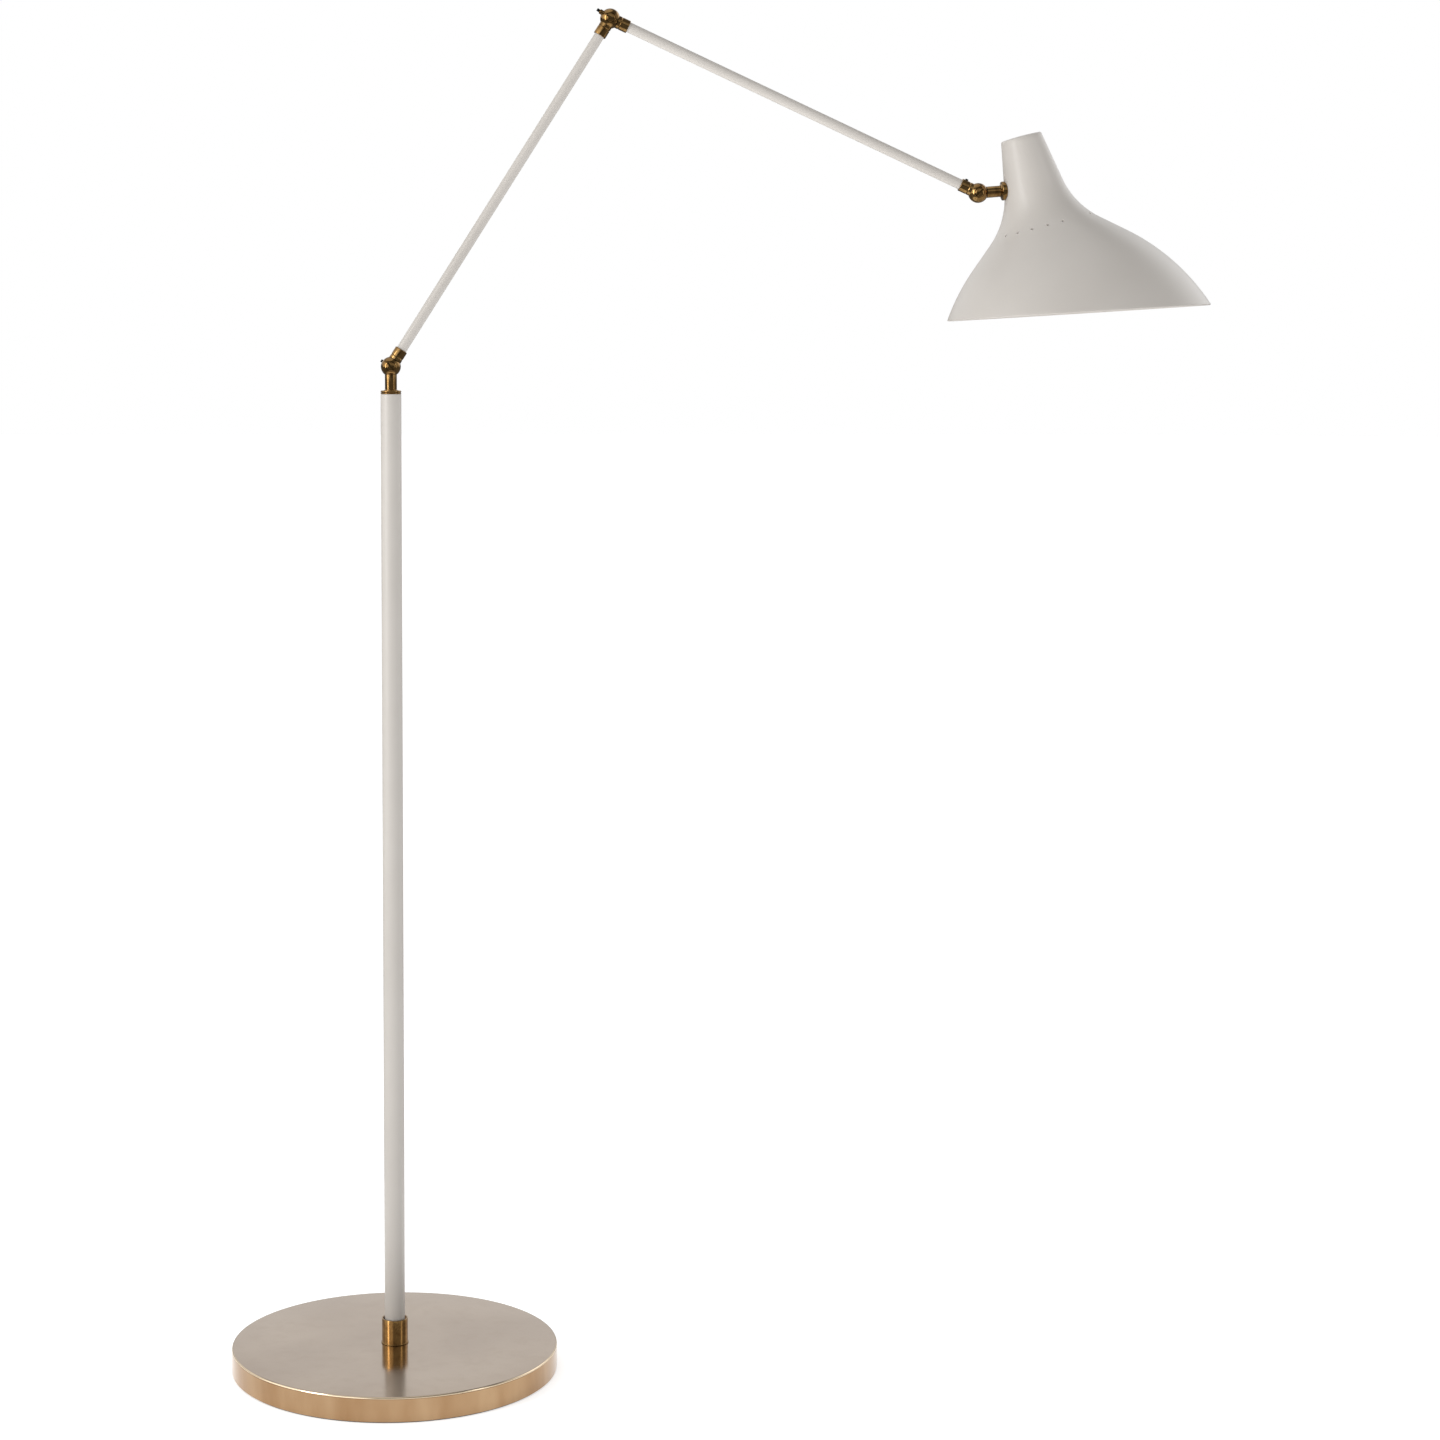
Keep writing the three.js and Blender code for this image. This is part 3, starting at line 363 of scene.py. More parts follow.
def skin(rows, looped=False):
    """Faces between rows of points, each closed round. A row of one point closes an end."""
    mesh = bmesh.new()
    rings = [[mesh.verts.new(point) for point in row] for row in rows]
    count = max(len(row) for row in rows)
    following = rings[1:] + rings[:1] if looped else rings[1:]
    for low, high in zip(rings, following):
        if len(low) == 1 and len(high) == 1:
            continue
        for i in range(count):
            j = (i + 1) % count
            if len(low) == 1:
                mesh.faces.new((low[0], high[j], high[i]))
            elif len(high) == 1:
                mesh.faces.new((low[i], low[j], high[0]))
            else:
                mesh.faces.new((low[i], low[j], high[j], high[i]))
    return mesh


def circle(radius, height, segments):
    """A row of points round Z, or the one point on the axis."""
    if radius < TINY:
        return [(0, 0, height)]
    turn = 2 * math.pi / segments
    return [(radius * math.cos(turn * i), radius * math.sin(turn * i), height) for i in range(segments)]


def lathe(profile, segments=MEDIUM):
    """A closed body of revolution about Z from a counterclockwise profile of (radius, height)."""
    return skin([circle(r, z, segments) for r, z in profile], looped=True)


def rod(radius, low, high, segments=SMALL, edge=0.0):
    return lathe(rounded([(0, low), (radius, low), (radius, high), (0, high)], edge, 3), segments)


def ring(inner, outer, low, high, segments=SMALL, edge=0.0):
    corners = [(inner, low), (outer, low), (outer, high), (inner, high)]
    return lathe(rounded(corners, edge, 3), segments)


def block(low, high):
    mesh = bmesh.new()
    bmesh.ops.create_cube(mesh, size=1)
    size = [b - a for a, b in zip(low, high)]
    centre = [(a + b) / 2 for a, b in zip(low, high)]
    return moved(mesh, Matrix.Translation(centre) @ Matrix.Diagonal(size).to_4x4())


def slab(outline, width):
    """A flat outline in the XZ plane, extruded to a width across Y."""
    mesh = bmesh.new()
    front = [mesh.verts.new((x, -width / 2, z)) for x, z in outline]
    back = [mesh.verts.new((x, width / 2, z)) for x, z in outline]
    mesh.faces.new(front)
    mesh.faces.new(back[::-1])
    for i in range(len(outline)):
        j = (i + 1) % len(outline)
        mesh.faces.new((front[i], back[i], back[j], front[j]))
    return mesh


def moved(mesh, matrix):
    bmesh.ops.transform(mesh, verts=mesh.verts, matrix=matrix)
    return mesh


def turn_y(mesh, degrees):
    return moved(mesh, about("Y", degrees))


def turn_x(mesh, degrees):
    return moved(mesh, about("X", degrees))


def added(name, data):
    thing = bpy.data.objects.new(name, data)
    bpy.context.scene.collection.objects.link(thing)
    return thing


def as_object(mesh, name):
    data = bpy.data.meshes.new(name)
    mesh.to_mesh(data)
    mesh.free()
    return added(name, data)


def combined(mesh, steps):
    """Joins or cuts a mesh by others: steps is a list of (UNION, DIFFERENCE or INTERSECT, mesh)."""
    body = as_object(mesh, "body")
    tools = []
    for operation, other in steps:
        tool = as_object(other, "tool")
        tools.append(tool)
        modifier = body.modifiers.new("join", "BOOLEAN")
        modifier.operation = operation
        modifier.solver = "EXACT"
        modifier.object = tool
    graph = bpy.context.evaluated_depsgraph_get()
    result = bmesh.new()
    result.from_mesh(body.evaluated_get(graph).to_mesh())
    for thing in [body, *tools]:
        data = thing.data
        bpy.data.objects.remove(thing)
        bpy.data.meshes.remove(data)
    bmesh.ops.remove_doubles(result, verts=result.verts, dist=TINY)
    return result


def cut(mesh, *tools):
    return combined(mesh, [("DIFFERENCE", tool) for tool in tools])


def hex_nut(flats, bore, low, high):
    """A hexagon nut along Z, its corners chamfered on both faces."""
    corner = flats / math.sqrt(3)
    chamfer = (corner - flats / 2) * tan_of(30)
    prism = bmesh.new()
    middle = Matrix.Translation((0, 0, (low + high) / 2))
    bmesh.ops.create_cone(prism, segments=6, radius1=corner, radius2=corner, depth=high - low,
                          cap_ends=True, matrix=middle)
    face = flats / 2 * NUT_FACE_SHARE
    limit = lathe([(0, low), (face, low), (corner, low + chamfer), (corner, high - chamfer), (face, high),
                   (0, high)], SMALL)
    edge = (high - low) * NUT_BORE_EDGE_SHARE
    hole = lathe([(0, low - edge), (bore + edge * 2, low - edge), (bore, low + edge), (bore, high - edge),
                  (bore + edge * 2, high + edge), (0, high + edge)], SMALL)
    return combined(prism, [("INTERSECT", limit), ("DIFFERENCE", hole)])


def piece(name, mesh, at, node, edge=0.0):
    """Puts a finished mesh in a CAD node's place, with its look and body, and keeps sharp edges sharp."""
    moved(mesh, at)
    bmesh.ops.recalc_face_normals(mesh, faces=mesh.faces)
    thing = as_object(mesh, name)
    thing.data.shade_smooth()
    thing.data.set_sharp_from_angle(angle=math.radians(SHARP_ANGLE))
    thing.data.materials.append(LOOK_OF_SLOT[slot_of[node]])
    if edge:
        bevel = thing.modifiers.new("edges", "BEVEL")
        bevel.width = edge
        bevel.segments = 2
        bevel.limit_method = "ANGLE"
        bevel.angle_limit = math.radians(SHARP_ANGLE)
        bevel.harden_normals = True
    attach(thing, body_of[node])
    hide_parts(node)


# ---------- Materials ----------


def preset(node, **values):
    """Sets a node's inputs by name, with an underscore for each space."""
    for name, value in values.items():
        node.inputs[name.replace("_", " ")].default_value = value
    return node


class Look:
    """A node material with its Principled shader, in object coordinates."""

    def __init__(self, name, slot):
        self.material = bpy.data.materials.new(name)
        self.material.use_nodes = True
        self.material["slot"] = slot
        self.tree = self.material.node_tree
        self.shader = self.tree.nodes["Principled BSDF"]
        self.place = self.node("ShaderNodeTexCoord").outputs["Object"]

    def node(self, kind, **settings):
        made = self.tree.nodes.new(kind)
        for key, value in settings.items():
            setattr(made, key, value)
        return made

    def link(self, source, target):
        self.tree.links.new(source, target)

    def stretched(self, scale):
        mapping = preset(self.node("ShaderNodeMapping"), Scale=scale)
        self.link(self.place, mapping.inputs["Vector"])
        return mapping.outputs["Vector"]

    def noise(self, scale, detail=4, roughness=0.55, at=None, distortion=0.0):
        noise = self.node("ShaderNodeTexNoise")
        preset(noise, Scale=scale, Detail=detail, Roughness=roughness, Distortion=distortion)
        self.link(at or self.place, noise.inputs["Vector"])
        return noise.outputs["Fac"]

    def ramp(self, source, stops):
        ramp = self.node("ShaderNodeValToRGB")
        elements = ramp.color_ramp.elements
        while len(elements) < len(stops):
            elements.new(0.5)
        for element, (position, colour) in zip(elements, stops):
            element.position = position
            element.color = (*colour, 1)
        self.link(source, ramp.inputs["Fac"])
        return ramp.outputs["Color"]

    def spread(self, source, low, high, from_low=0.3, from_high=0.7):
        spread = self.node("ShaderNodeMapRange")
        preset(spread, From_Min=from_low, From_Max=from_high, To_Min=low, To_Max=high)
        self.link(source, spread.inputs["Value"])
        return spread.outputs["Result"]

    def mix(self, factor, first, second):
        mix = self.node("ShaderNodeMix", data_type="RGBA")
        self.link(factor, mix.inputs[0])
        for socket, value in ((mix.inputs[6], first), (mix.inputs[7], second)):
            if isinstance(value, tuple):
                socket.default_value = (*value, 1)
            else:
                self.link(value, socket)
        return mix.outputs[2]

    def bump(self, source, distance, strength=1.0, after=None):
        bump = preset(self.node("ShaderNodeBump"), Distance=distance, Strength=strength)
        self.link(source, bump.inputs["Height"])
        if after:
            self.link(after, bump.inputs["Normal"])
        return bump.outputs["Normal"]

    def sockets(self, **values):
        for name, value in values.items():
            socket = self.shader.inputs[name.replace("_", " ")]
            if isinstance(value, (int, float, tuple)):
                socket.default_value = value
            else:
                self.link(value, socket)
        return self.material


def satin_paint():
    look = Look("warm_white_satin_paint", "white_paint")
    cloud = look.noise(7, 3)
    fine = look.noise(260, 3)
    grain = look.noise(1500, 2)
    colour = look.ramp(cloud, [(0.3, (0.60, 0.565, 0.525)), (0.7, (0.645, 0.61, 0.57))])
    normal = look.bump(fine, 0.00002, 0.6)
    return look.sockets(
        Base_Color=colour,
        Roughness=look.spread(cloud, 0.36, 0.46),
        Specular_IOR_Level=0.45,
        Coat_Weight=0.15,
        Coat_Roughness=0.25,
        Normal=look.bump(grain, 0.000004, 0.5, normal),
    )


def antique_brass():
    look = Look("antique_brass", "antique_brass")
    patina = look.noise(110, 5, 0.6, distortion=0.4)
    fine = look.noise(1100, 4)
    tone = look.ramp(patina, [
        (0.30, (0.19, 0.100, 0.027)),
        (0.50, (0.29, 0.165, 0.052)),
        (0.72, (0.40, 0.250, 0.090)),
    ])
    stain = look.spread(look.noise(420, 5, 0.65), 0.0, 0.45, 0.52, 0.72)
    scratch = look.noise(90, 8, 0.7, look.stretched((12, 12, 1.5)))
    return look.sockets(
        Base_Color=look.mix(stain, tone, (0.075, 0.034, 0.010)),
        Metallic=1.0,
        Roughness=look.spread(fine, 0.12, 0.20),
        Coat_Weight=0.25,
        Coat_Roughness=0.12,
        Normal=look.bump(scratch, 0.000005, 0.5),
    )


def base_cover_brass():
    """Aged, greyed brass on the top face and warmer brass round the side, with a pale band on the rounded
    edge that is partly rubbed wear and partly a painted highlight.
    """
    look = Look("aged_brass_cover", "base_brass")
    cloud = look.noise(8, 3, 0.45, distortion=0.5)
    mottle = look.noise(70, 5, 0.6)
    top = look.ramp(cloud, [
        (0.30, (0.375, 0.300, 0.236)),
        (0.52, (0.425, 0.345, 0.272)),
        (0.74, (0.470, 0.388, 0.308)),
    ])
    top = look.mix(look.spread(mottle, 0.0, 0.22, 0.48, 0.75), top, (0.33, 0.25, 0.175))
    streak = look.noise(30, 4, 0.5, look.stretched((1, 1, 0.25)))
    side = look.ramp(streak, [
        (0.32, (0.34, 0.20, 0.100)),
        (0.50, (0.40, 0.255, 0.140)),
        (0.70, (0.46, 0.31, 0.180)),
    ])
    height = look.node("ShaderNodeSeparateXYZ")
    look.link(look.place, height.inputs["Vector"])
    up = height.outputs["Z"]
    groove = BASE_TOP - COVER_EDGE_RADIUS
    upper = look.spread(up, 0.0, 1.0, BASE_TOP - 0.0004, BASE_TOP - 0.00005)
    # The rounded edge is painted pale brass by height: partly rubbed wear, partly a painted highlight that
    # runs all round.
    edge = look.spread(up, 0.0, 1.0, BASE_TOP - COVER_EDGE_RADIUS * 1.3, groove)
    side = look.mix(edge, side, (0.86, 0.70, 0.50))
    brushed = look.noise(700, 3, 0.6)
    return look.sockets(
        Base_Color=look.mix(upper, side, top),
        Metallic=1.0,
        Roughness=look.spread(cloud, 0.10, 0.17),
        Normal=look.bump(brushed, 0.000002, 0.5),
    )


def plain_metal(name, slot, dark, light, rough, scale=300):
    look = Look(name, slot)
    patch = look.noise(scale, 5)
    fine = look.noise(scale * 5, 3)
    return look.sockets(
        Base_Color=look.ramp(patch, [(0.3, dark), (0.7, light)]),
        Metallic=1.0,
        Roughness=look.spread(fine, rough * 0.7, rough * 1.3),
        Normal=look.bump(fine, 0.00002, 0.5),
    )


def moulded(name, slot, dark, light, rough):
    look = Look(name, slot)
    patch = look.noise(250, 4)
    fine = look.noise(1500, 3)
    return look.sockets(
        Base_Color=look.ramp(patch, [(0.3, dark), (0.7, light)]),
        Roughness=look.spread(patch, rough * 0.8, rough * 1.15),
        Normal=look.bump(fine, 0.00003, 0.6),
    )


def felt():
    look = Look("dark_felt", "felt")
    fibres = look.noise(1500, 6, 0.7, look.stretched((1, 0.35, 1)), 2.0)
    clumps = look.noise(240, 4)
    return look.sockets(
        Base_Color=look.ramp(clumps, [(0.3, (0.018, 0.016, 0.015)), (0.7, (0.045, 0.04, 0.037))]),
        Roughness=0.95,
        Sheen_Weight=0.4,
        Sheen_Roughness=0.5,
        Normal=look.bump(fibres, 0.0003, 0.8),
    )


def frosted_glass():
    look = Look("frosted_bulb_glass", "frosted_glass")
    cloud = look.noise(60, 3)
    return look.sockets(
        Base_Color=look.ramp(cloud, [(0.3, (0.86, 0.85, 0.82)), (0.7, (0.92, 0.91, 0.88))]),
        Roughness=look.spread(cloud, 0.25, 0.38),
        Subsurface_Weight=0.3,
        Subsurface_Radius=(1.0, 0.85, 0.7),
        Subsurface_Scale=0.004,
        Normal=look.bump(look.noise(900, 3), 0.000002, 0.4),
    )


LOOKS = [
    satin_paint(),
    antique_brass(),
    base_cover_brass(),
    plain_metal("cap_brass", "bright_brass", (0.50, 0.36, 0.14), (0.72, 0.54, 0.25), 0.25),
    plain_metal("cast_iron", "cast_iron", (0.05, 0.05, 0.05), (0.10, 0.10, 0.105), 0.7, 120),
    plain_metal("plated_steel", "plated_steel", (0.42, 0.42, 0.43), (0.58, 0.58, 0.60), 0.28),
    plain_metal("black_steel", "black_steel", (0.012, 0.014, 0.012), (0.03, 0.034, 0.03), 0.4),
    felt(),
    moulded("black_rubber", "rubber", (0.012, 0.012, 0.012), (0.025, 0.024, 0.023), 0.75),
    moulded("red_fibre", "fibre", (0.10, 0.035, 0.02), (0.16, 0.06, 0.035), 0.7),
    moulded("black_phenolic", "phenolic", (0.010, 0.009, 0.008), (0.02, 0.018, 0.016), 0.35),
    moulded("pale_flex_sheath", "flex_sheath", (0.62, 0.60, 0.55), (0.70, 0.68, 0.63), 0.5),
    frosted_glass(),
]
LOOK_OF_SLOT = {look["slot"]: look for look in LOOKS}


def dress_cad_nodes():
    """Every CAD node that stays visible gets the procedural look of its slot."""
    for node, slot in slot_of.items():
        data = frame["nodes"][node].data
        data.materials.clear()
        data.materials.append(LOOK_OF_SLOT[slot])


# ---------- Base and pole ----------


def base_cover():
    """The spun skin: a rounded foot, a fine groove under the rounded edge, a flat top and a cord hole."""
    groove = BASE_TOP - COVER_EDGE_RADIUS
    step = COVER_GROOVE_STEP
    profile = [
        *arc((BASE_RADIUS - COVER_FOOT_RADIUS, BASE_FOOT + COVER_FOOT_RADIUS), COVER_FOOT_RADIUS, -90, 0, 5),
        (BASE_RADIUS, groove - step * 6),
        (BASE_RADIUS - step, groove - step * 5),
        (BASE_RADIUS - COVER_GROOVE, groove - step * 4),
        (BASE_RADIUS - COVER_GROOVE, groove - step * 2),
        *arc((BASE_RADIUS - COVER_EDGE_RADIUS, groove), COVER_EDGE_RADIUS, -6, 90, 12),
        (BASE_RADIUS * 0.7, BASE_TOP),
        (BASE_RADIUS * 0.35, BASE_TOP),
        (ROD_HOLE, BASE_TOP),
        (ROD_HOLE, BASE_TOP - COVER_WALL),
        (BASE_RADIUS - COVER_WALL, BASE_TOP - COVER_WALL),
        (BASE_RADIUS - COVER_WALL, BASE_FOOT),
    ]
    hole = turn_x(rod(GROMMET_HOLE, BASE_RADIUS - CORD_CUT, BASE_RADIUS + CORD_CUT), -90)
    hole = moved(hole, Matrix.Translation((0, 0, GROMMET_HEIGHT)))
    piece("base_cover_skin", cut(lathe(profile, FINE), hole), STAND, "base_cover")


def cord_grommet():
    """A rubber grommet gripping the cover's wall, with a domed outer lip and a rounded bore."""
    inside = BASE_RADIUS - COVER_WALL - 2 * FACE_GAP
    outside = BASE_RADIUS + FACE_GAP
    lip = GROMMET_HOLE + GROMMET_LIP - FACE_GAP
    barrel = GROMMET_HOLE - FIT
    profile = rounded([
        (GROMMET_BORE, inside + FACE_GAP - GROMMET_LIP, SOFT),
        (lip, inside + FACE_GAP - GROMMET_LIP, ROUND),
        (lip, inside, CRISP),
        (barrel, inside),
        (barrel, outside),
        (lip, outside, CRISP),
        (lip - GROMMET_LIP * 0.35, BASE_RADIUS + GROMMET_LIP, 0.0014),
        (GROMMET_BORE, BASE_RADIUS + GROMMET_LIP, 0.0007),
    ], 0, 6)
    at = Matrix.Translation((0, 0, GROMMET_HEIGHT))
    piece("cord_inlet_grommet", turn_x(lathe(profile, SMALL), -90), at, "cord_grommet")


def base_pad():
    corners = [(0, 0), (PAD_RADIUS, 0, ROUND), (PAD_RADIUS, PAD_THICKNESS), (0, PAD_THICKNESS)]
    piece("felt_pad", lathe(rounded(corners, PAD_EDGE, 4), FINE), STAND, "base_pad")


def base_collar():
    bore = POLE_RADIUS + FIT
    lip = COLLAR_RADIUS - COLLAR_LIP_WALL
    bead_at = BASE_TOP + COLLAR_BEAD
    corners = rounded([
        (bore, BASE_TOP),
        (COLLAR_RADIUS, BASE_TOP),
        (COLLAR_RADIUS, COLLAR_TOP, EASED),
        (lip, COLLAR_TOP, CRISP),
        (lip, COLLAR_TOP - COLLAR_LIP_DEPTH, SOFT),
        (bore, COLLAR_TOP - COLLAR_LIP_DEPTH),
    ])
    bead = arc((COLLAR_RADIUS, bead_at), COLLAR_BEAD, -90, 90, 10)
    profile = corners[:1] + bead + corners[2:]
    piece("collar", lathe(profile, MEDIUM), STAND, "base_collar")


def pole():
    """The painted tube, and its cap of two beads and a hollow that leads up to the stem."""
    bore = POLE_RADIUS - POLE_WALL
    tube_mesh = ring(bore, POLE_RADIUS, POLE_FOOT, POLE_TOP, FINE // 2, CRISP)
    piece("pole", tube_mesh, STAND, "pole_tube")
    spigot = bore - FIT
    step = CAP_THICKNESS / 4
    hole = SPINDLE_RADIUS + FIT
    profile = [
        (hole, POLE_TOP - CAP_SPIGOT),
        (spigot, POLE_TOP - CAP_SPIGOT),
        (spigot, POLE_TOP),
        (POLE_RADIUS - CAP_LEDGE, POLE_TOP),
        *arc((POLE_RADIUS - CAP_LEDGE, POLE_TOP + step * 0.75), step * 0.6, -70, 70, 8),
        *arc((POLE_RADIUS - CAP_BEAD_INSET, POLE_TOP + step * 2.4), step * 1.1, -60, 80, 12),
        *arc((SWIVEL_STEM_RADIUS + CAP_HOLLOW_OUT, POLE_TOP + CAP_THICKNESS), CAP_HOLLOW, -75, -180, 6),
        (hole, POLE_TOP + CAP_THICKNESS),
    ]
    piece("pole_top_cap", lathe(profile, MEDIUM), STAND, "pole_cap")


# ---------- Knuckles ----------


def half_ball(side):
    """A hollow half ball: side -1 is the front, +1 the back."""
    face = SPLIT_GAP / 2
    edge = math.degrees(math.asin(face / BALL_RADIUS))
    recess = math.degrees(math.acos(SCREW_RECESS_RADIUS / BALL_RADIUS))
    wall_top = SCREW_RECESS_FLOOR - RECESS_WALL
    inner_edge = math.degrees(math.asin(face / BALL_CAVITY))
    inner_top = math.degrees(math.asin(wall_top / BALL_CAVITY))
    profile = [
        (BALL_RADIUS - BALL_EDGE, face),
        *arc((0, 0), BALL_RADIUS, edge + 1.6, recess - 1.5, 20),
        (SCREW_RECESS_RADIUS, BALL_RADIUS * sin_of(recess) - BALL_EDGE),
        (SCREW_RECESS_RADIUS, SCREW_RECESS_FLOOR),
        (SCREW_RADIUS + FIT, SCREW_RECESS_FLOOR),
        (SCREW_RADIUS + FIT, face),
        (SCREW_BOSS_RADIUS, face),
        (SCREW_BOSS_RADIUS, wall_top),
        *arc((0, 0), BALL_CAVITY, inner_top, inner_edge, 8),
    ]
    return turn_x(lathe(profile, SMALL), side * -90)


def ball(radius):
    return lathe(arc((0, 0), radius, -90, 90, 40), SMALL)


def knuckle_half(side, stem_profile, reach):
    """A half ball with a stem along +Z, cut clear of the other half's sweep."""
    far = BALL_RADIUS * 2
    face = side * SPLIT_GAP / 2
    low, high = (face, far) if side < 0 else (-far, face)
    sweep = combined(ball(BALL_RADIUS + SWEEP_CLEARANCE),
                     [("INTERSECT", block((-far, low, -far), (far, high, far)))])
    stem = cut(lathe(stem_profile, SMALL), ball((BALL_RADIUS + BALL_CAVITY) / 2), sweep)
    return combined(stem, [
        ("UNION", half_ball(side)),
        ("DIFFERENCE", rod(FLEX_BORE, BALL_CAVITY - OVERCUT * 1.5, reach + OVERCUT, 32)),
    ])


def sleeve_half(side):
    """A half ball with the sleeve that grips an arm tube, and a fine groove round its waist."""
    profile = rounded([
        (0, 0),
        (SLEEVE_RADIUS, 0),
        (SLEEVE_RADIUS, WAIST_STATION - WAIST_HALF),
        (SLEEVE_RADIUS - WAIST_DEPTH, WAIST_STATION, CRISP),
        (SLEEVE_RADIUS, WAIST_STATION + WAIST_HALF),
        (SLEEVE_RADIUS, SLEEVE_REACH, SOFT),
        (0, SLEEVE_REACH),
    ])
    mesh = knuckle_half(side, profile, SLEEVE_REACH)
    socket = rod(ARM_RADIUS + FIT, SLEEVE_REACH - SLEEVE_GRIP, SLEEVE_REACH + OVERCUT)
    return cut(mesh, socket)


def hinge_screw():
    """A domed, slotted head in the ball's recess, on a shank that ends in the nut behind."""
    head = SCREW_RECESS_FLOOR + FACE_GAP
    top = head + SCREW_HEAD_HEIGHT
    tip = SCREW_RECESS_FLOOR + FACE_GAP + SCREW_TAIL
    dome = SCREW_HEAD_HEIGHT * SCREW_DOME_SHARE
    profile = [
        (0, -tip),
        (SCREW_RADIUS - SCREW_TIP_EDGE, -tip),
        (SCREW_RADIUS, -tip + SCREW_TIP_EDGE),
        (SCREW_RADIUS, head),
        (SCREW_HEAD_RADIUS, head),
        (SCREW_HEAD_RADIUS, top - dome - FIT),
    ]
    for i in range(1, 11):
        angle = 90 * i / 10
        profile.append((SCREW_HEAD_RADIUS * cos_of(angle), top - dome + dome * sin_of(angle)))
    half = SCREW_SLOT_WIDTH / 2
    far = SCREW_HEAD_RADIUS * 2.5
    slot = block((-far, -half, top - SCREW_SLOT_DEPTH), (far, half, top + OVERCUT))
    return turn_x(cut(lathe(profile, SMALL), slot), 90)


def round_nut():
    """The round nut behind the ball, with two notches for a spanner."""
    low = SCREW_RECESS_FLOOR + FACE_GAP + SPRING_WASHER_THICKNESS + FIT
    high = low + NUT_HEIGHT
    mesh = ring(SCREW_RADIUS + FIT, SCREW_HEAD_RADIUS, low, high, SMALL, NUT_EDGE)
    half = NUT_NOTCH / 2
    for side in (-1, 1):
        near, far = sorted((side * NUT_NOTCH_START, side * SCREW_HEAD_RADIUS * 1.5))
        mesh = cut(mesh, block((near, -half, high - NUT_NOTCH), (far, half, high + NUT_NOTCH)))
    return turn_x(mesh, -90)


def add_fastenings(name, at):
    """The slotted screw, whose head shows in the front of the ball, and the nut behind it."""
    at_slot = at @ about("Y", SLOT_ANGLE[name])
    at_notch = at @ about("Y", NOTCH_ANGLE[name])
    piece(f"{name}_slotted_screw", hinge_screw(), at_slot, f"{name}_hinge_screw", SCREW_SLOT_EDGE)
    piece(f"{name}_round_nut", round_nut(), at_notch, f"{name}_nut")


def side_rod(radius, low, high, side, segments=32, edge=0.0):
    """A rod towards -X from the ball's middle, in the half of the ball on one side."""
    mesh = turn_y(rod(radius, low, high, segments, edge), -90)
    return moved(mesh, Matrix.Translation((0, side * TENSION_SIDE, 0)))


def slotted(mesh, top, width, depth):
    far = TENSION_SCREW_RADIUS * 2
    slot = block((-far, -width / 2, top - depth), (far, width / 2, top + OVERCUT))
    return cut(mesh, slot)


def tension_screw(reach, side):
    mesh = rod(TENSION_SCREW_RADIUS, TENSION_ROOT, reach, 48, NUT_EDGE)
    mesh = turn_y(slotted(mesh, reach, TENSION_SLOT_WIDTH, TENSION_SLOT_DEPTH), -90)
    return moved(mesh, Matrix.Translation((0, side * TENSION_SIDE, 0)))


def swivel():
    """The fixed half of the first ball, on a stem that turns in the pole's cap."""
    shoulder = KNUCKLE.z - POLE_TOP - CAP_THICKNESS - FIT
    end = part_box("swivel_stem")[0].z
    low = KNUCKLE.z - end
    profile = rounded([
        (0, 0),
        (SWIVEL_STEM_RADIUS, 0),
        (SWIVEL_STEM_RADIUS, shoulder, EASED),
        (SPINDLE_RADIUS, shoulder),
        (SPINDLE_RADIUS, low, EASED),
        (0, low),
    ])
    half = moved(knuckle_half(-1, profile, low), TURN_OVER)
    piece("swivel_ball_half", half, SWIVEL_AT, "swivel_stem")
    add_fastenings("lower_knuckle", SWIVEL_AT)


def tube(name, at, length, node):
    """An arm's tube, divided along its length so that its shading stays even."""
    inset = SLEEVE_REACH - SLEEVE_GRIP + FACE_GAP
    low, high = inset, length - inset
    inner = ARM_RADIUS - ARM_WALL
    stations = [low + (high - low) * i / TUBE_STEPS for i in range(TUBE_STEPS + 1)]
    profile = [(ARM_RADIUS, z) for z in stations] + [(inner, z) for z in reversed(stations)]
    piece(name, lathe(profile, MEDIUM), at, node)


def lower_arm():
    reach = BALL_RADIUS + TENSION_SCREW_PROUD
    hole = side_rod(TENSION_SCREW_RADIUS + FIT, SCREW_BOSS_RADIUS + OVERCUT, reach + OVERCUT, 1)
    near = cut(sleeve_half(1), hole)
    piece("lower_ball_half", near, LOWER_AT, "lower_knuckle_arm_half")
    piece("lower_tension_screw", tension_screw(reach, 1), LOWER_AT, "lower_knuckle_tension_screw")
    tube("lower_tube", LOWER_AT, LOWER_DIRECTION.length, "lower_arm_tube")

    reach = ELBOW_BOSS_REACH + ELBOW_SCREW_PROUD
    boss = side_rod(ELBOW_BOSS_RADIUS, TENSION_ROOT + OVERCUT, ELBOW_BOSS_REACH, -1, 48, ELBOW_BOSS_EDGE)
    hole = side_rod(TENSION_SCREW_RADIUS + FIT, SCREW_BOSS_RADIUS + OVERCUT, reach + OVERCUT, -1)
    far = combined(moved(sleeve_half(-1), TURN_OVER), [("UNION", boss), ("DIFFERENCE", hole)])
    piece("elbow_front_half", far, LOWER_END_AT, "elbow_fixed_half")
    piece("elbow_black_screw", tension_screw(reach, -1), LOWER_END_AT, "elbow_tension_screw")
    add_fastenings("elbow", LOWER_END_AT)


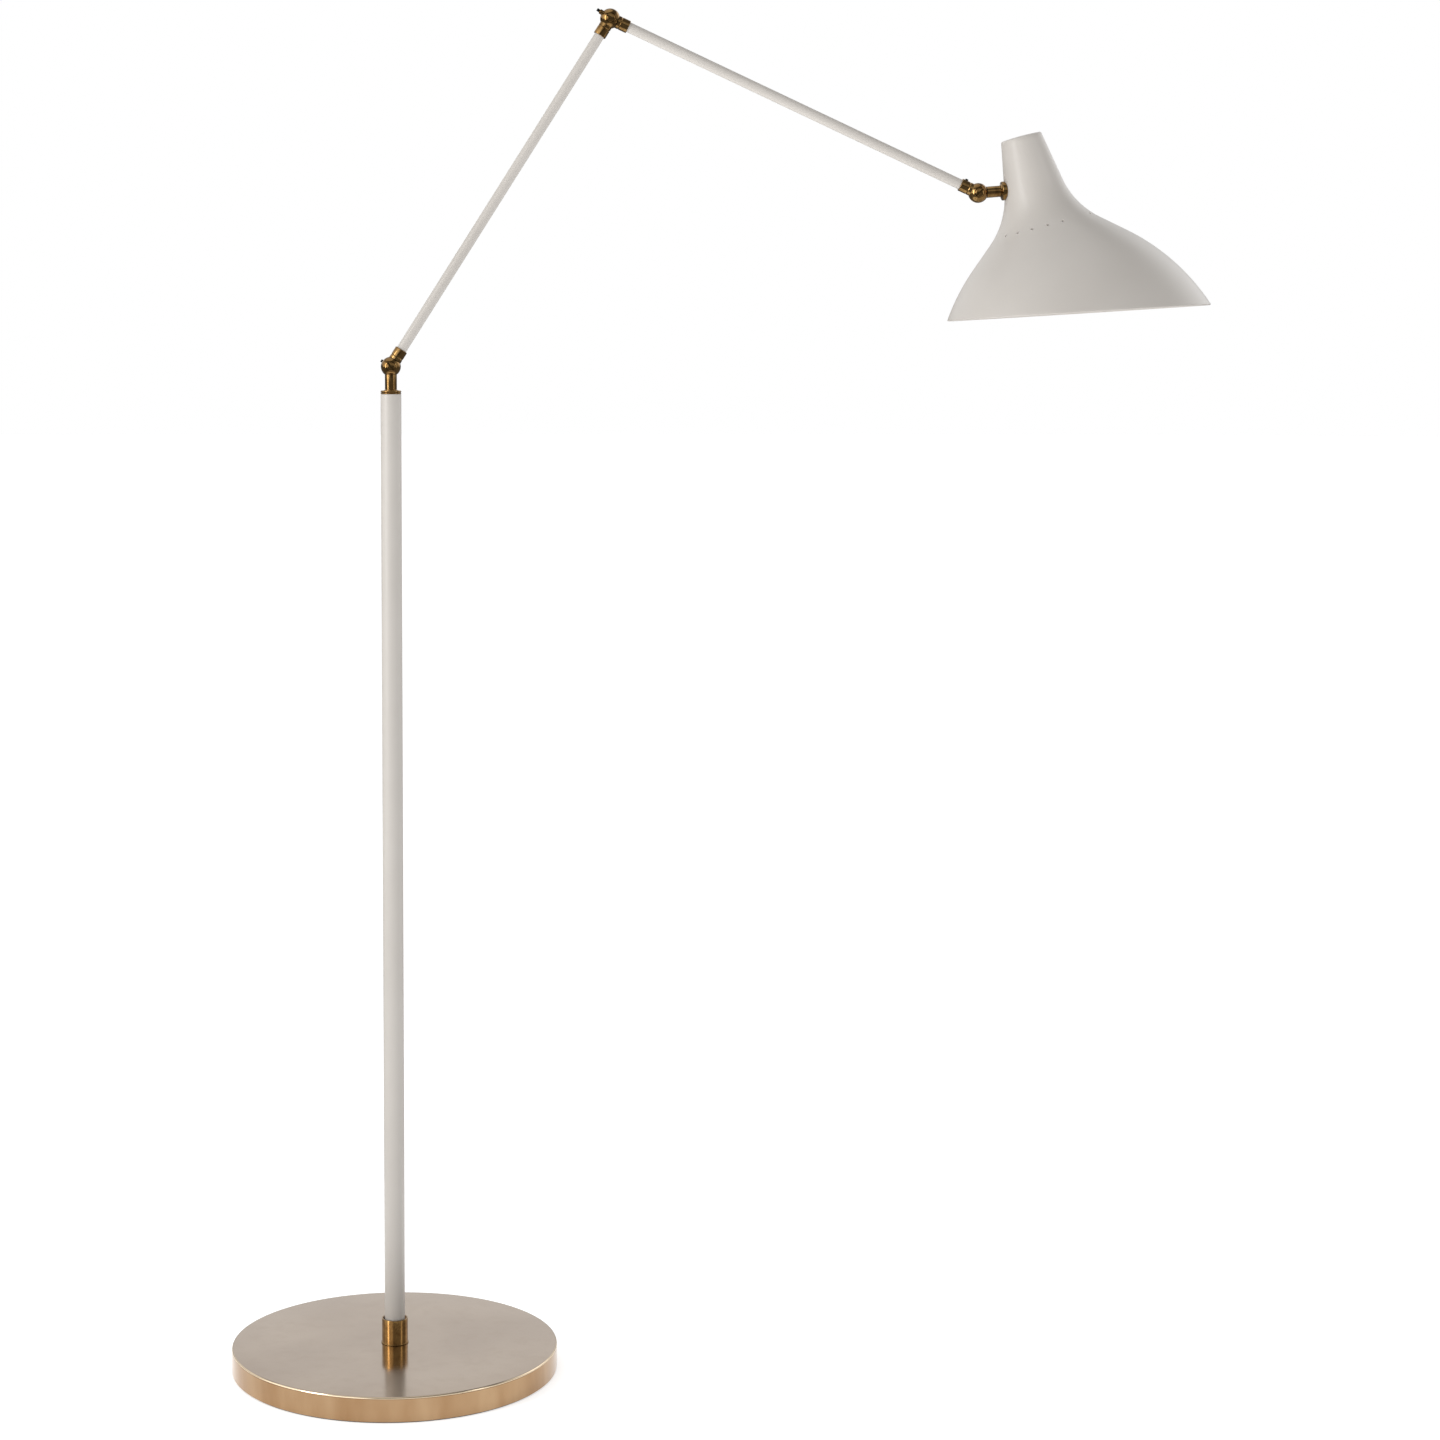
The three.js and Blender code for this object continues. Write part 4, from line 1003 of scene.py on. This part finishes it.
def upper_arm():
    piece("elbow_back_half", sleeve_half(1), UPPER_AT, "elbow_arm_half")
    tube("upper_tube", UPPER_AT, UPPER_DIRECTION.length, "upper_arm_tube")
    station = Matrix.Translation((0, 0, -(SLEEVE_REACH - SLEEVE_GRIP / 2)))
    hole = moved(turn_y(rod(SET_SCREW_RADIUS + FIT, ARM_RADIUS, SLEEVE_RADIUS + OVERCUT, 32), -90), station)
    half = cut(moved(sleeve_half(-1), TURN_OVER), hole)
    piece("head_front_half", half, UPPER_END_AT, "head_knuckle_fixed_half")
    top = SLEEVE_RADIUS + SET_SCREW_PROUD
    screw = rod(SET_SCREW_RADIUS, ARM_RADIUS + FACE_GAP, top, 48, CRISP)
    screw = slotted(screw, top, SET_SCREW_SLOT_WIDTH, SET_SCREW_SLOT_DEPTH)
    screw = moved(turn_y(screw, -90), station)
    piece("sleeve_set_screw", screw, UPPER_END_AT, "upper_arm_set_screw")
    add_fastenings("head_knuckle", UPPER_END_AT)


# ---------- Head ----------


def head_stem():
    """The head's half ball, on a stem that passes through the disc, the shade and the bracket."""
    reach = NECK_NUT_FACE + NECK_NUT_HEIGHT + SPIGOT_TAIL
    profile = rounded([
        (0, 0),
        (HEAD_STEM_RADIUS, 0),
        (HEAD_STEM_RADIUS, HEAD_STEM_REACH, EASED),
        (SPINDLE_RADIUS, HEAD_STEM_REACH),
        (SPINDLE_RADIUS, reach, EASED),
        (0, reach),
    ])
    piece("head_ball_half", knuckle_half(1, profile, reach), HEAD_AT, "head_stem")


def neck_washer():
    """A domed disc whose far face is hollowed to sit on the round neck."""
    low = HEAD_STEM_REACH + FACE_GAP
    high = low + NECK_WASHER_THICKNESS
    profile = rounded([
        (SPINDLE_RADIUS + FIT, low),
        (HEAD_STEM_RADIUS + NECK_WASHER_LEDGE, low, CRISP),
        (HEAD_STEM_RADIUS + NECK_WASHER_FOOT, low + NECK_WASHER_STEP, ROUND),
        (NECK_WASHER_RADIUS, low + NECK_WASHER_BROW, ROUND),
        (NECK_WASHER_RADIUS, high, SOFT),
        (SPINDLE_RADIUS + FIT, high),
    ], 0, 6)
    mesh = lathe(profile, MEDIUM)
    middle = (low + high) / 2
    for vert in mesh.verts:
        share = max(0.0, (vert.co.z - middle) / (high - middle))
        sag = STEM_STATION_RADIUS - math.sqrt(STEM_STATION_RADIUS**2 - vert.co.y**2)
        vert.co.z += sag * share
    piece("neck_disc", mesh, HEAD_AT, "neck_washer")


def shade_point(station, angle, inset=0.0):
    """A point of the shade's wall, inset from its outer face along the normal."""
    radius, slope = shade_at(station)
    r = radius - inset * cos_of(slope)
    z = station + inset * sin_of(slope)
    return Vector((r * math.cos(angle), r * math.sin(angle), z))


def rim_station(angle):
    """Where the tilted rim plane cuts the wall at an angle about the axis."""
    station = RIM_CENTRE
    for _ in range(RIM_ROUNDS):
        station = RIM_CENTRE + shade_at(station)[0] * math.cos(angle) * tan_of(RIM_TILT)
    return station


def shade_rows():
    """Stations from the neck's edge down to the bell, and below them shares of the bell's length."""
    fixed = [NECK_EDGE_RADIUS + (NECK_LENGTH - NECK_EDGE_RADIUS) * i / 12 for i in range(12)]
    fixed += [NECK_LENGTH + FLARE_LENGTH * i / 28 for i in range(28)]
    fixed += [CONE_START + CONE_LENGTH * i / 8 for i in range(8)]
    shares = [i / 40 for i in range(41)]
    return fixed, shares


def dish(radial, radius, base, shares):
    """Points of a shallow dish along one radius, its middle raised by the neck's crown."""
    return [radial * (radius * t) + Vector((0, 0, base - NECK_CROWN * (1 - t**2))) for t in shares]


def shade_column(angle):
    """Outer and inner points of the wall at one angle, from the crown to the rolled rim and back."""
    fixed, shares = shade_rows()
    rim = rim_station(angle) - RIM_BEAD
    stations = fixed + [BELL_START + (rim - BELL_START) * share for share in shares]
    outer = [shade_point(station, angle) for station in stations]
    inner = [shade_point(station, angle, SHADE_WALL) for station in stations]
    radial = Vector((math.cos(angle), math.sin(angle), 0))
    along = (outer[-1] - outer[-2]).normalized()
    side = (outer[-1] - inner[-1]).normalized()
    centre = outer[-1] - side * RIM_BEAD
    bead = [centre + side * RIM_BEAD * cos_of(t) + along * RIM_BEAD * sin_of(t) for t in range(15, 241, 15)]
    flat = NECK_TOP_RADIUS - NECK_EDGE_RADIUS
    crown = dish(radial, flat, 0, (0.2, 0.4, 0.6, 0.8, 1.0))
    edge = [
        radial * (flat + NECK_EDGE_RADIUS * sin_of(t))
        + Vector((0, 0, NECK_EDGE_RADIUS * (1 - cos_of(t))))
        for t in (22, 45, 68)
    ]
    lid = dish(radial, NECK_TOP_RADIUS - SHADE_WALL - LID_GAP, SHADE_WALL, (1.0, 0.75, 0.5, 0.25))
    return crown + edge + outer + bead + inner[-3::-1] + lid


def shade_mesh():
    """The whole shell as columns round the axis, closed by a point above and one below the lid."""
    mesh = bmesh.new()
    columns = []
    for i in range(FINE):
        columns.append([mesh.verts.new(p) for p in shade_column(2 * math.pi * i / FINE)])
    top = mesh.verts.new((0, 0, -NECK_CROWN))
    bottom = mesh.verts.new((0, 0, SHADE_WALL - NECK_CROWN))
    for i in range(FINE):
        here, there = columns[i], columns[(i + 1) % FINE]
        mesh.faces.new((top, there[0], here[0]))
        mesh.faces.new((bottom, here[-1], there[-1]))
        for k in range(len(here) - 1):
            mesh.faces.new((here[k], there[k], there[k + 1], here[k + 1]))
    return mesh


def vent_cutter():
    """All the vents' pins in one mesh, each square to the wall."""
    radius, slope = shade_at(VENT_STATION)
    cutter = bmesh.new()
    for group in range(VENT_GROUPS):
        for i in range(VENTS_PER_GROUP):
            middle = VENT_GROUP_OFFSET + group * 360 / VENT_GROUPS
            angle = 90 - (middle + (i - (VENTS_PER_GROUP - 1) / 2) * VENT_PITCH)
            at = about("Z", angle) @ Matrix.Translation((radius, 0, VENT_STATION)) @ about("Y", 90 + slope)
            bmesh.ops.create_cone(cutter, segments=24, radius1=VENT_RADIUS, radius2=VENT_RADIUS,
                                  depth=SHADE_WALL * 8, cap_ends=True, matrix=at)
    return cutter


def shade():
    stem_hole = rod(SPINDLE_RADIUS + FACE_GAP, NECK_FACE - OVERCUT * 2, NECK_FACE + OVERCUT * 4, 48)
    mesh = cut(shade_mesh(), vent_cutter(), moved(stem_hole, STEM_IN_SHADE))
    piece("bell_shade", mesh, SHADE_PLACE, "shade")


def neck_nut():
    mesh = hex_nut(NECK_NUT_FLATS, SPINDLE_RADIUS + FIT, NECK_NUT_FACE, NECK_NUT_FACE + NECK_NUT_HEIGHT)
    piece("neck_hex_nut", mesh, HEAD_AT, "neck_nut")


def holder_bracket():
    """A bent steel strap, clamped on the head's stem inside the neck, that carries the holder."""
    inset = (SHADE_WALL + BRACKET_WALL_GAP) / cos_of(NECK_SLOPE)
    thick = BRACKET_THICKNESS / cos_of(NECK_SLOPE)
    foot = STEM_STATION + BRACKET_TAIL
    shelf = BRACKET_STATION + BRACKET_THICKNESS
    foot_wall = shade_at(NECK_LENGTH)[0] - inset + (foot - NECK_LENGTH) * tan_of(NECK_SLOPE)
    tip = -(HOLDER_ROD_RADIUS + BRACKET_LIP)
    outline = rounded([
        (foot_wall, foot),
        (shade_at(BRACKET_STATION)[0] - inset, BRACKET_STATION, BRACKET_THICKNESS * 2),
        (tip, BRACKET_STATION),
        (tip, shelf),
        (shade_at(shelf)[0] - inset - thick, shelf, BRACKET_THICKNESS),
        (foot_wall - thick, foot),
    ], 0, 6)
    strap = slab([(-x, z) for x, z in outline], BRACKET_WIDTH)
    rod_hole = rod(HOLDER_ROD_RADIUS + FIT, BRACKET_STATION - HOLDER_NUT_HEIGHT, shelf + HOLDER_NUT_HEIGHT)
    stem_hole = rod(SPINDLE_RADIUS + FIT, NECK_FACE, NECK_FACE + HEAD_STEM_REACH)
    mesh = cut(strap, rod_hole, moved(stem_hole, STEM_IN_SHADE))
    piece("holder_strap", mesh, SHADE_PLACE, "holder_bracket", BRACKET_THICKNESS * 0.15)
    top = BRACKET_STATION - FACE_GAP
    nut = hex_nut(HOLDER_NUT_FLATS, HOLDER_ROD_RADIUS + FIT, top - HOLDER_NUT_HEIGHT, top)
    piece("holder_hex_nut", nut, SHADE_PLACE, "holder_nut")


def lamp_holder():
    """The holder's domed cap, and its body with a groove round it near the mouth."""
    rim = HOLDER_TOP + HOLDER_CAP_HEIGHT
    hollow = HOLDER_TOP + HOLDER_CAP_HEIGHT * HOLDER_CAP_HOLLOW
    cap = rounded([
        (ROD_HOLE, HOLDER_TOP),
        (HOLDER_RADIUS * 0.72, HOLDER_TOP, 0.002),
        (HOLDER_RADIUS, HOLDER_TOP + HOLDER_CAP_HEIGHT * HOLDER_CAP_SHOULDER, 0.003),
        (HOLDER_RADIUS, rim, CRISP),
        (HOLDER_RADIUS - HOLDER_CAP_WALL, rim),
        (HOLDER_RADIUS - HOLDER_CAP_WALL, hollow),
        (ROD_HOLE, hollow),
    ], 0, 8)
    piece("holder_dome", lathe(cap, MEDIUM), SHADE_PLACE, "holder_cap")
    low = rim + FACE_GAP
    mouth = HOLDER_TOP + HOLDER_LENGTH
    bore = SHELL_RADIUS + FIT
    body = rounded([
        (0, low),
        (HOLDER_RADIUS, low, CRISP),
        *[(HOLDER_RADIUS - depth, mouth - drop) for drop, depth in HOLDER_GROOVE],
        (HOLDER_RADIUS, mouth, SOFT),
        (bore, mouth, CRISP),
        (bore, low + HOLDER_FLOOR),
        (0, low + HOLDER_FLOOR),
    ], 0.0001, 5)
    piece("holder_sleeve", lathe(body, MEDIUM), SHADE_PLACE, "holder_body")


def bulb_cap():
    """The bulb's screw cap: a rolled thread between a plain collar and the tapered contact end."""
    low = BULB_TOP + BULB_CAP_LENGTH * BULB_CAP_TAPER
    high = BULB_TOP + BULB_CAP_LENGTH
    ridge = THREAD_DEPTH / 2
    rows = [
        circle(0, BULB_TOP, MEDIUM),
        *[circle(BULB_CAP_RADIUS * share, BULB_TOP + ridge * rise, MEDIUM) for share, rise in CONTACT_END],
        circle(BULB_CAP_RADIUS * BULB_CAP_SHOULDER, low - ridge, MEDIUM),
    ]
    turns = (high - low) / THREAD_PITCH
    steps = round(turns * THREAD_STEPS)
    for k in range(steps + 1):
        share = k / steps
        fade = min(1, share * turns, (1 - share) * turns)
        row = []
        for i in range(MEDIUM):
            angle = 2 * math.pi * i / MEDIUM
            wave = math.cos(2 * math.pi * turns * share - angle) * fade
            radius = BULB_CAP_RADIUS - ridge + ridge * wave
            row.append((radius * math.cos(angle), radius * math.sin(angle), low + (high - low) * share))
        rows.append(row)
    bore = BULB_CAP_RADIUS - THREAD_DEPTH - GLASS_WALL
    rows += [circle(bore, high, MEDIUM), circle(bore, low, MEDIUM), circle(0, low, MEDIUM)]
    piece("bulb_screw_cap", skin(rows), SHADE_PLACE, "bulb_cap")


def bulb():
    """A round envelope whose neck curves in to the cap."""
    centre = BULB_START + BULB_LENGTH - BULB_RADIUS
    turn = BULB_JOIN_ANGLE
    tangent = Vector((-sin_of(turn), cos_of(turn)))
    start = Vector((BULB_CAP_RADIUS - BULB_THROAT_STEP, BULB_START))
    end = Vector((BULB_RADIUS * cos_of(turn), centre + BULB_RADIUS * sin_of(turn)))
    first = start + Vector((0, BULB_LENGTH * 0.30))
    last = end - tangent * BULB_LENGTH * 0.16
    neck = []
    for i in range(BULB_NECK_STEPS):
        t = i / BULB_NECK_STEPS
        point = start * (1 - t) ** 3 + first * 3 * t * (1 - t) ** 2 + last * 3 * t * t * (1 - t) + end * t**3
        neck.append(tuple(point))
    outer = neck + arc((0, centre), BULB_RADIUS, turn, 90, 32)
    inner = [(r - GLASS_WALL, z) for r, z in reversed(neck)]
    dome = arc((0, centre), BULB_RADIUS - GLASS_WALL, 90, turn, 32)
    piece("bulb_envelope", lathe(outer + dome + inner, MEDIUM), SHADE_PLACE, "bulb_glass")


# ---------- Studio ----------

FLOOR_RADIUS = 40
FLOOR_GLOW = 0.6
FLOOR_BRIGHT_RADIUS = 0.4
FLOOR_MIRRORED = 0.18
AMBIENT = 0.38
SWEEP = 0.95
ROOM_DARK = 0.05
ROOM_RAISED = 0.5
ROOM_LEFT = 1.6
ROOM_RIGHT = 0.4
ROOM_CEILING = 0.15

# Where each part of the mirrored room starts and is full, as a direction's share along an axis.
BEHIND = (0.0, 0.45)
FRONT = (0.35, 0.15)
ABOVE_HORIZON = (0.10, 0.20)
OVERHEAD = (0.50, 0.75)
LEFT = (-0.22, -0.42)
RIGHT = (0.45, 0.65)

# Each soft box has its place, its width and height, its power in watts and its tint.
SOFT_BOXES = {
    "key_left": ((-2.6, -1.5, 1.5), (0.7, 2.4), 37, (1, 0.985, 0.96)),
    "fill_right": ((2.8, -1.6, 1.5), (0.7, 2.2), 7, (1, 1, 1)),
    "rim_back": ((2.6, 1.6, 2.0), (1.8, 2.4), 9, (1, 1, 1)),
}
LIGHT_AIM = Vector((0.2, 0, 0.9))
SUN_STRENGTH = 0.6
SUN_SPREAD = 60
SUN_LEAN = (-10, -12)
CAMERA_PLACE = (-0.0105, -2.7542, 0.9374)
CAMERA_PITCH = -3.977
CAMERA_TURN = -3.763
CAMERA_LENS = 74.55
CAMERA_SHIFT = (0.10, -0.10)


def camera():
    data = bpy.data.cameras.new("camera")
    data.lens = CAMERA_LENS
    data.sensor_width = 36
    data.shift_x, data.shift_y = CAMERA_SHIFT
    data.clip_end = 200
    thing = added("camera", data)
    thing.location = CAMERA_PLACE
    thing.rotation_euler = (math.radians(90 + CAMERA_PITCH), 0, math.radians(CAMERA_TURN))
    bpy.context.scene.camera = thing


def floor():
    """A pale floor. What glossy faces mirror of it is dim beyond a bright disc round the lamp."""
    mesh = bmesh.new()
    bmesh.ops.create_circle(mesh, cap_ends=True, segments=96, radius=FLOOR_RADIUS)
    thing = as_object(mesh, "floor")
    look = Look("studio_floor", "studio")
    material = look.sockets(
        Base_Color=(0.86, 0.86, 0.86, 1),
        Roughness=0.9,
        Specular_IOR_Level=0.1,
        Emission_Color=(1, 1, 1, 1),
        Emission_Strength=FLOOR_GLOW,
    )
    distance = look.node("ShaderNodeVectorMath", operation="LENGTH")
    look.link(look.place, distance.inputs[0])
    far = look.spread(distance.outputs["Value"], 0.0, 1.0, FLOOR_BRIGHT_RADIUS, FLOOR_BRIGHT_RADIUS * 2)
    hidden = look.node("ShaderNodeMath", operation="MULTIPLY")
    look.link(far, hidden.inputs[0])
    look.link(look.node("ShaderNodeLightPath").outputs["Is Glossy Ray"], hidden.inputs[1])
    dim = preset(look.node("ShaderNodeEmission"), Strength=FLOOR_MIRRORED)
    mixed = look.node("ShaderNodeMixShader")
    look.link(hidden.outputs[0], mixed.inputs[0])
    look.link(look.shader.outputs["BSDF"], mixed.inputs[1])
    look.link(dim.outputs["Emission"], mixed.inputs[2])
    look.link(mixed.outputs["Shader"], look.tree.nodes["Material Output"].inputs["Surface"])
    thing.data.materials.append(material)


def studio_light():
    for name, (location, size, energy, tint) in SOFT_BOXES.items():
        data = bpy.data.lights.new(name, "AREA")
        data.shape = "RECTANGLE"
        data.size, data.size_y = size
        data.energy = energy
        data.color = tint
        thing = added(name, data)
        thing.location = location
        thing.rotation_euler = (LIGHT_AIM - Vector(location)).to_track_quat("-Z", "Y").to_euler()
    sun = bpy.data.lights.new("overhead", "SUN")
    sun.energy = SUN_STRENGTH
    sun.angle = math.radians(SUN_SPREAD)
    thing = added("overhead", sun)
    thing.rotation_euler = (math.radians(SUN_LEAN[0]), math.radians(SUN_LEAN[1]), 0)


def studio_world():
    """White to the camera. What the metal mirrors is a room, dark at the horizon and paler above it, with a
    broad soft box at the left, a weaker one at the right, a white sweep behind and a dim ceiling."""
    world = bpy.data.worlds.new("studio")
    world.use_nodes = True
    tree = world.node_tree
    background = tree.nodes["Background"]

    def smooth(axis, span):
        made = preset(tree.nodes.new("ShaderNodeMapRange"), From_Min=span[0], From_Max=span[1])
        made.interpolation_type = "SMOOTHSTEP"
        tree.links.new(axes.outputs[axis], made.inputs["Value"])
        return made.outputs["Result"]

    def blend(factor, first, second):
        made = tree.nodes.new("ShaderNodeMix")
        tree.links.new(factor, made.inputs[0])
        for socket, value in ((made.inputs[2], first), (made.inputs[3], second)):
            if isinstance(value, float):
                socket.default_value = value
            else:
                tree.links.new(value, socket)
        return made.outputs[0]

    def product(first, second):
        made = tree.nodes.new("ShaderNodeMath")
        made.operation = "MULTIPLY"
        tree.links.new(first, made.inputs[0])
        tree.links.new(second, made.inputs[1])
        return made.outputs[0]

    coordinates = tree.nodes.new("ShaderNodeTexCoord")
    axes = tree.nodes.new("ShaderNodeSeparateXYZ")
    tree.links.new(coordinates.outputs["Generated"], axes.inputs["Vector"])
    raised = smooth("Z", ABOVE_HORIZON)
    front = smooth("Y", FRONT)
    left = product(smooth("X", LEFT), front)
    right = product(smooth("X", RIGHT), front)
    room = blend(raised, blend(right, ROOM_DARK, ROOM_RIGHT), ROOM_RAISED)
    room = blend(left, room, ROOM_LEFT)
    swept = blend(product(smooth("Y", BEHIND), raised), room, SWEEP)
    mirrored = blend(smooth("Z", OVERHEAD), swept, ROOM_CEILING)
    rays = tree.nodes.new("ShaderNodeLightPath")
    seen = blend(rays.outputs["Is Glossy Ray"], AMBIENT, mirrored)
    tree.links.new(blend(rays.outputs["Is Camera Ray"], seen, 1.0), background.inputs["Strength"])
    background.inputs["Color"].default_value = (1, 1, 1, 1)
    bpy.context.scene.world = world
    bpy.context.scene.view_settings.view_transform = "Standard"


# ---------- Assembly ----------

camera()
floor()
studio_light()
studio_world()
dress_cad_nodes()
base_cover()
cord_grommet()
base_pad()
base_collar()
pole()
swivel()
lower_arm()
upper_arm()
head_stem()
neck_washer()
shade()
neck_nut()
holder_bracket()
lamp_holder()
bulb_cap()
bulb()
